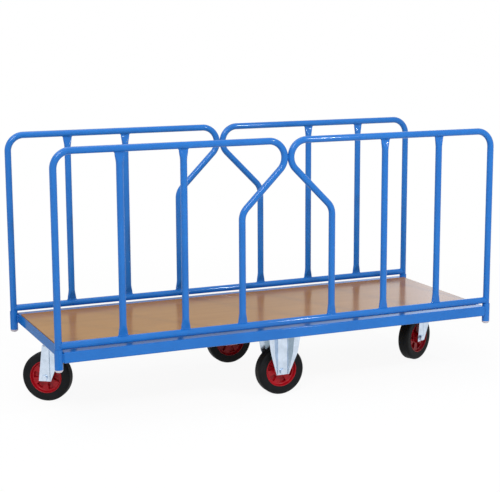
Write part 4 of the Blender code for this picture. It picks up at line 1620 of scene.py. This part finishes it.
class CART_OT_swivel_casters(bpy.types.Operator):
    """Makes the forks, top plates, kingpins, bearings and axles of the swivel casters"""

    bl_idname = "cart.swivel_casters"
    bl_label = "Swivel casters"

    def execute(self, context):
        casters = context.scene.cart.casters
        plate = swivel_plate(casters)
        axle = axle_shape(casters)
        for where, _ in ENDS:
            place, trail = swivel_place(where)
            axis = Matrix.Translation((place.translation.x, place.translation.y, 0))
            dress(swivel_fork(casters, trail), f"swivel_fork_{where}", place)
            dress(axle, f"swivel_axle_{where}", axle_place(JOINT[f"wheel_{where}_spin"]))
            dress(plate, f"swivel_plate_{where}", axis)
            dress(kingpin(f"kingpin_{where}"), f"kingpin_{where}", axis)
            dress(bearing_ring(f"swivel_ring_{where}"), f"swivel_ring_{where}", axis)
        plate.free()
        axle.free()
        return {"FINISHED"}


class CART_OT_wheels(bpy.types.Operator):
    """Makes the four wheels: tyre, wheel centre and bearing sleeve"""

    bl_idname = "cart.wheels"
    bl_label = "Wheels"

    def execute(self, context):
        cart = context.scene.cart
        shapes = {
            "tyre": tyre_shape(cart.wheels),
            "wheel_centre": centre_shape(cart.wheels),
            "bearing": sleeve_shape(cart.wheels, cart.casters),
        }
        for where in ("left", "right", "front", "rear"):
            for piece, shape in shapes.items():
                dress(shape, f"{piece}_{where}", axle_place(JOINT[f"wheel_{where}_spin"]))
        for shape in shapes.values():
            shape.free()
        return {"FINISHED"}


OPERATORS = (
    CART_OT_stage,
    CART_OT_hoops,
    CART_OT_bars,
    CART_OT_rails,
    CART_OT_side_welds,
    CART_OT_rim,
    CART_OT_sockets,
    CART_OT_deck,
    CART_OT_fixed_casters,
    CART_OT_swivel_casters,
    CART_OT_wheels,
)


class CART_PT_panel(bpy.types.Panel):
    """Lists the cart's pieces in the sidebar"""

    bl_idname = "CART_PT_panel"
    bl_label = "Order picking cart"
    bl_space_type = "VIEW_3D"
    bl_region_type = "UI"
    bl_category = "Cart"

    def draw(self, context):
        for operator in OPERATORS:
            self.layout.operator(operator.bl_idname)


CLASSES = (
    TubeSettings,
    PlatformSettings,
    CasterSettings,
    WheelSettings,
    FinishSettings,
    StageSettings,
    CartSettings,
    *OPERATORS,
    CART_PT_panel,
)


def register():
    for item in CLASSES:
        bpy.utils.register_class(item)
    bpy.types.Scene.cart = PointerProperty(type=CartSettings)


def unregister():
    del bpy.types.Scene.cart
    for item in reversed(CLASSES):
        bpy.utils.unregister_class(item)


def main():
    register()
    bpy.ops.cart.stage()
    bpy.ops.cart.hoops()
    bpy.ops.cart.bars()
    bpy.ops.cart.rails()
    bpy.ops.cart.side_welds()
    bpy.ops.cart.rim()
    bpy.ops.cart.sockets()
    bpy.ops.cart.deck()
    bpy.ops.cart.fixed_casters()
    bpy.ops.cart.swivel_casters()
    bpy.ops.cart.wheels()


if __name__ == "__main__":
    main()
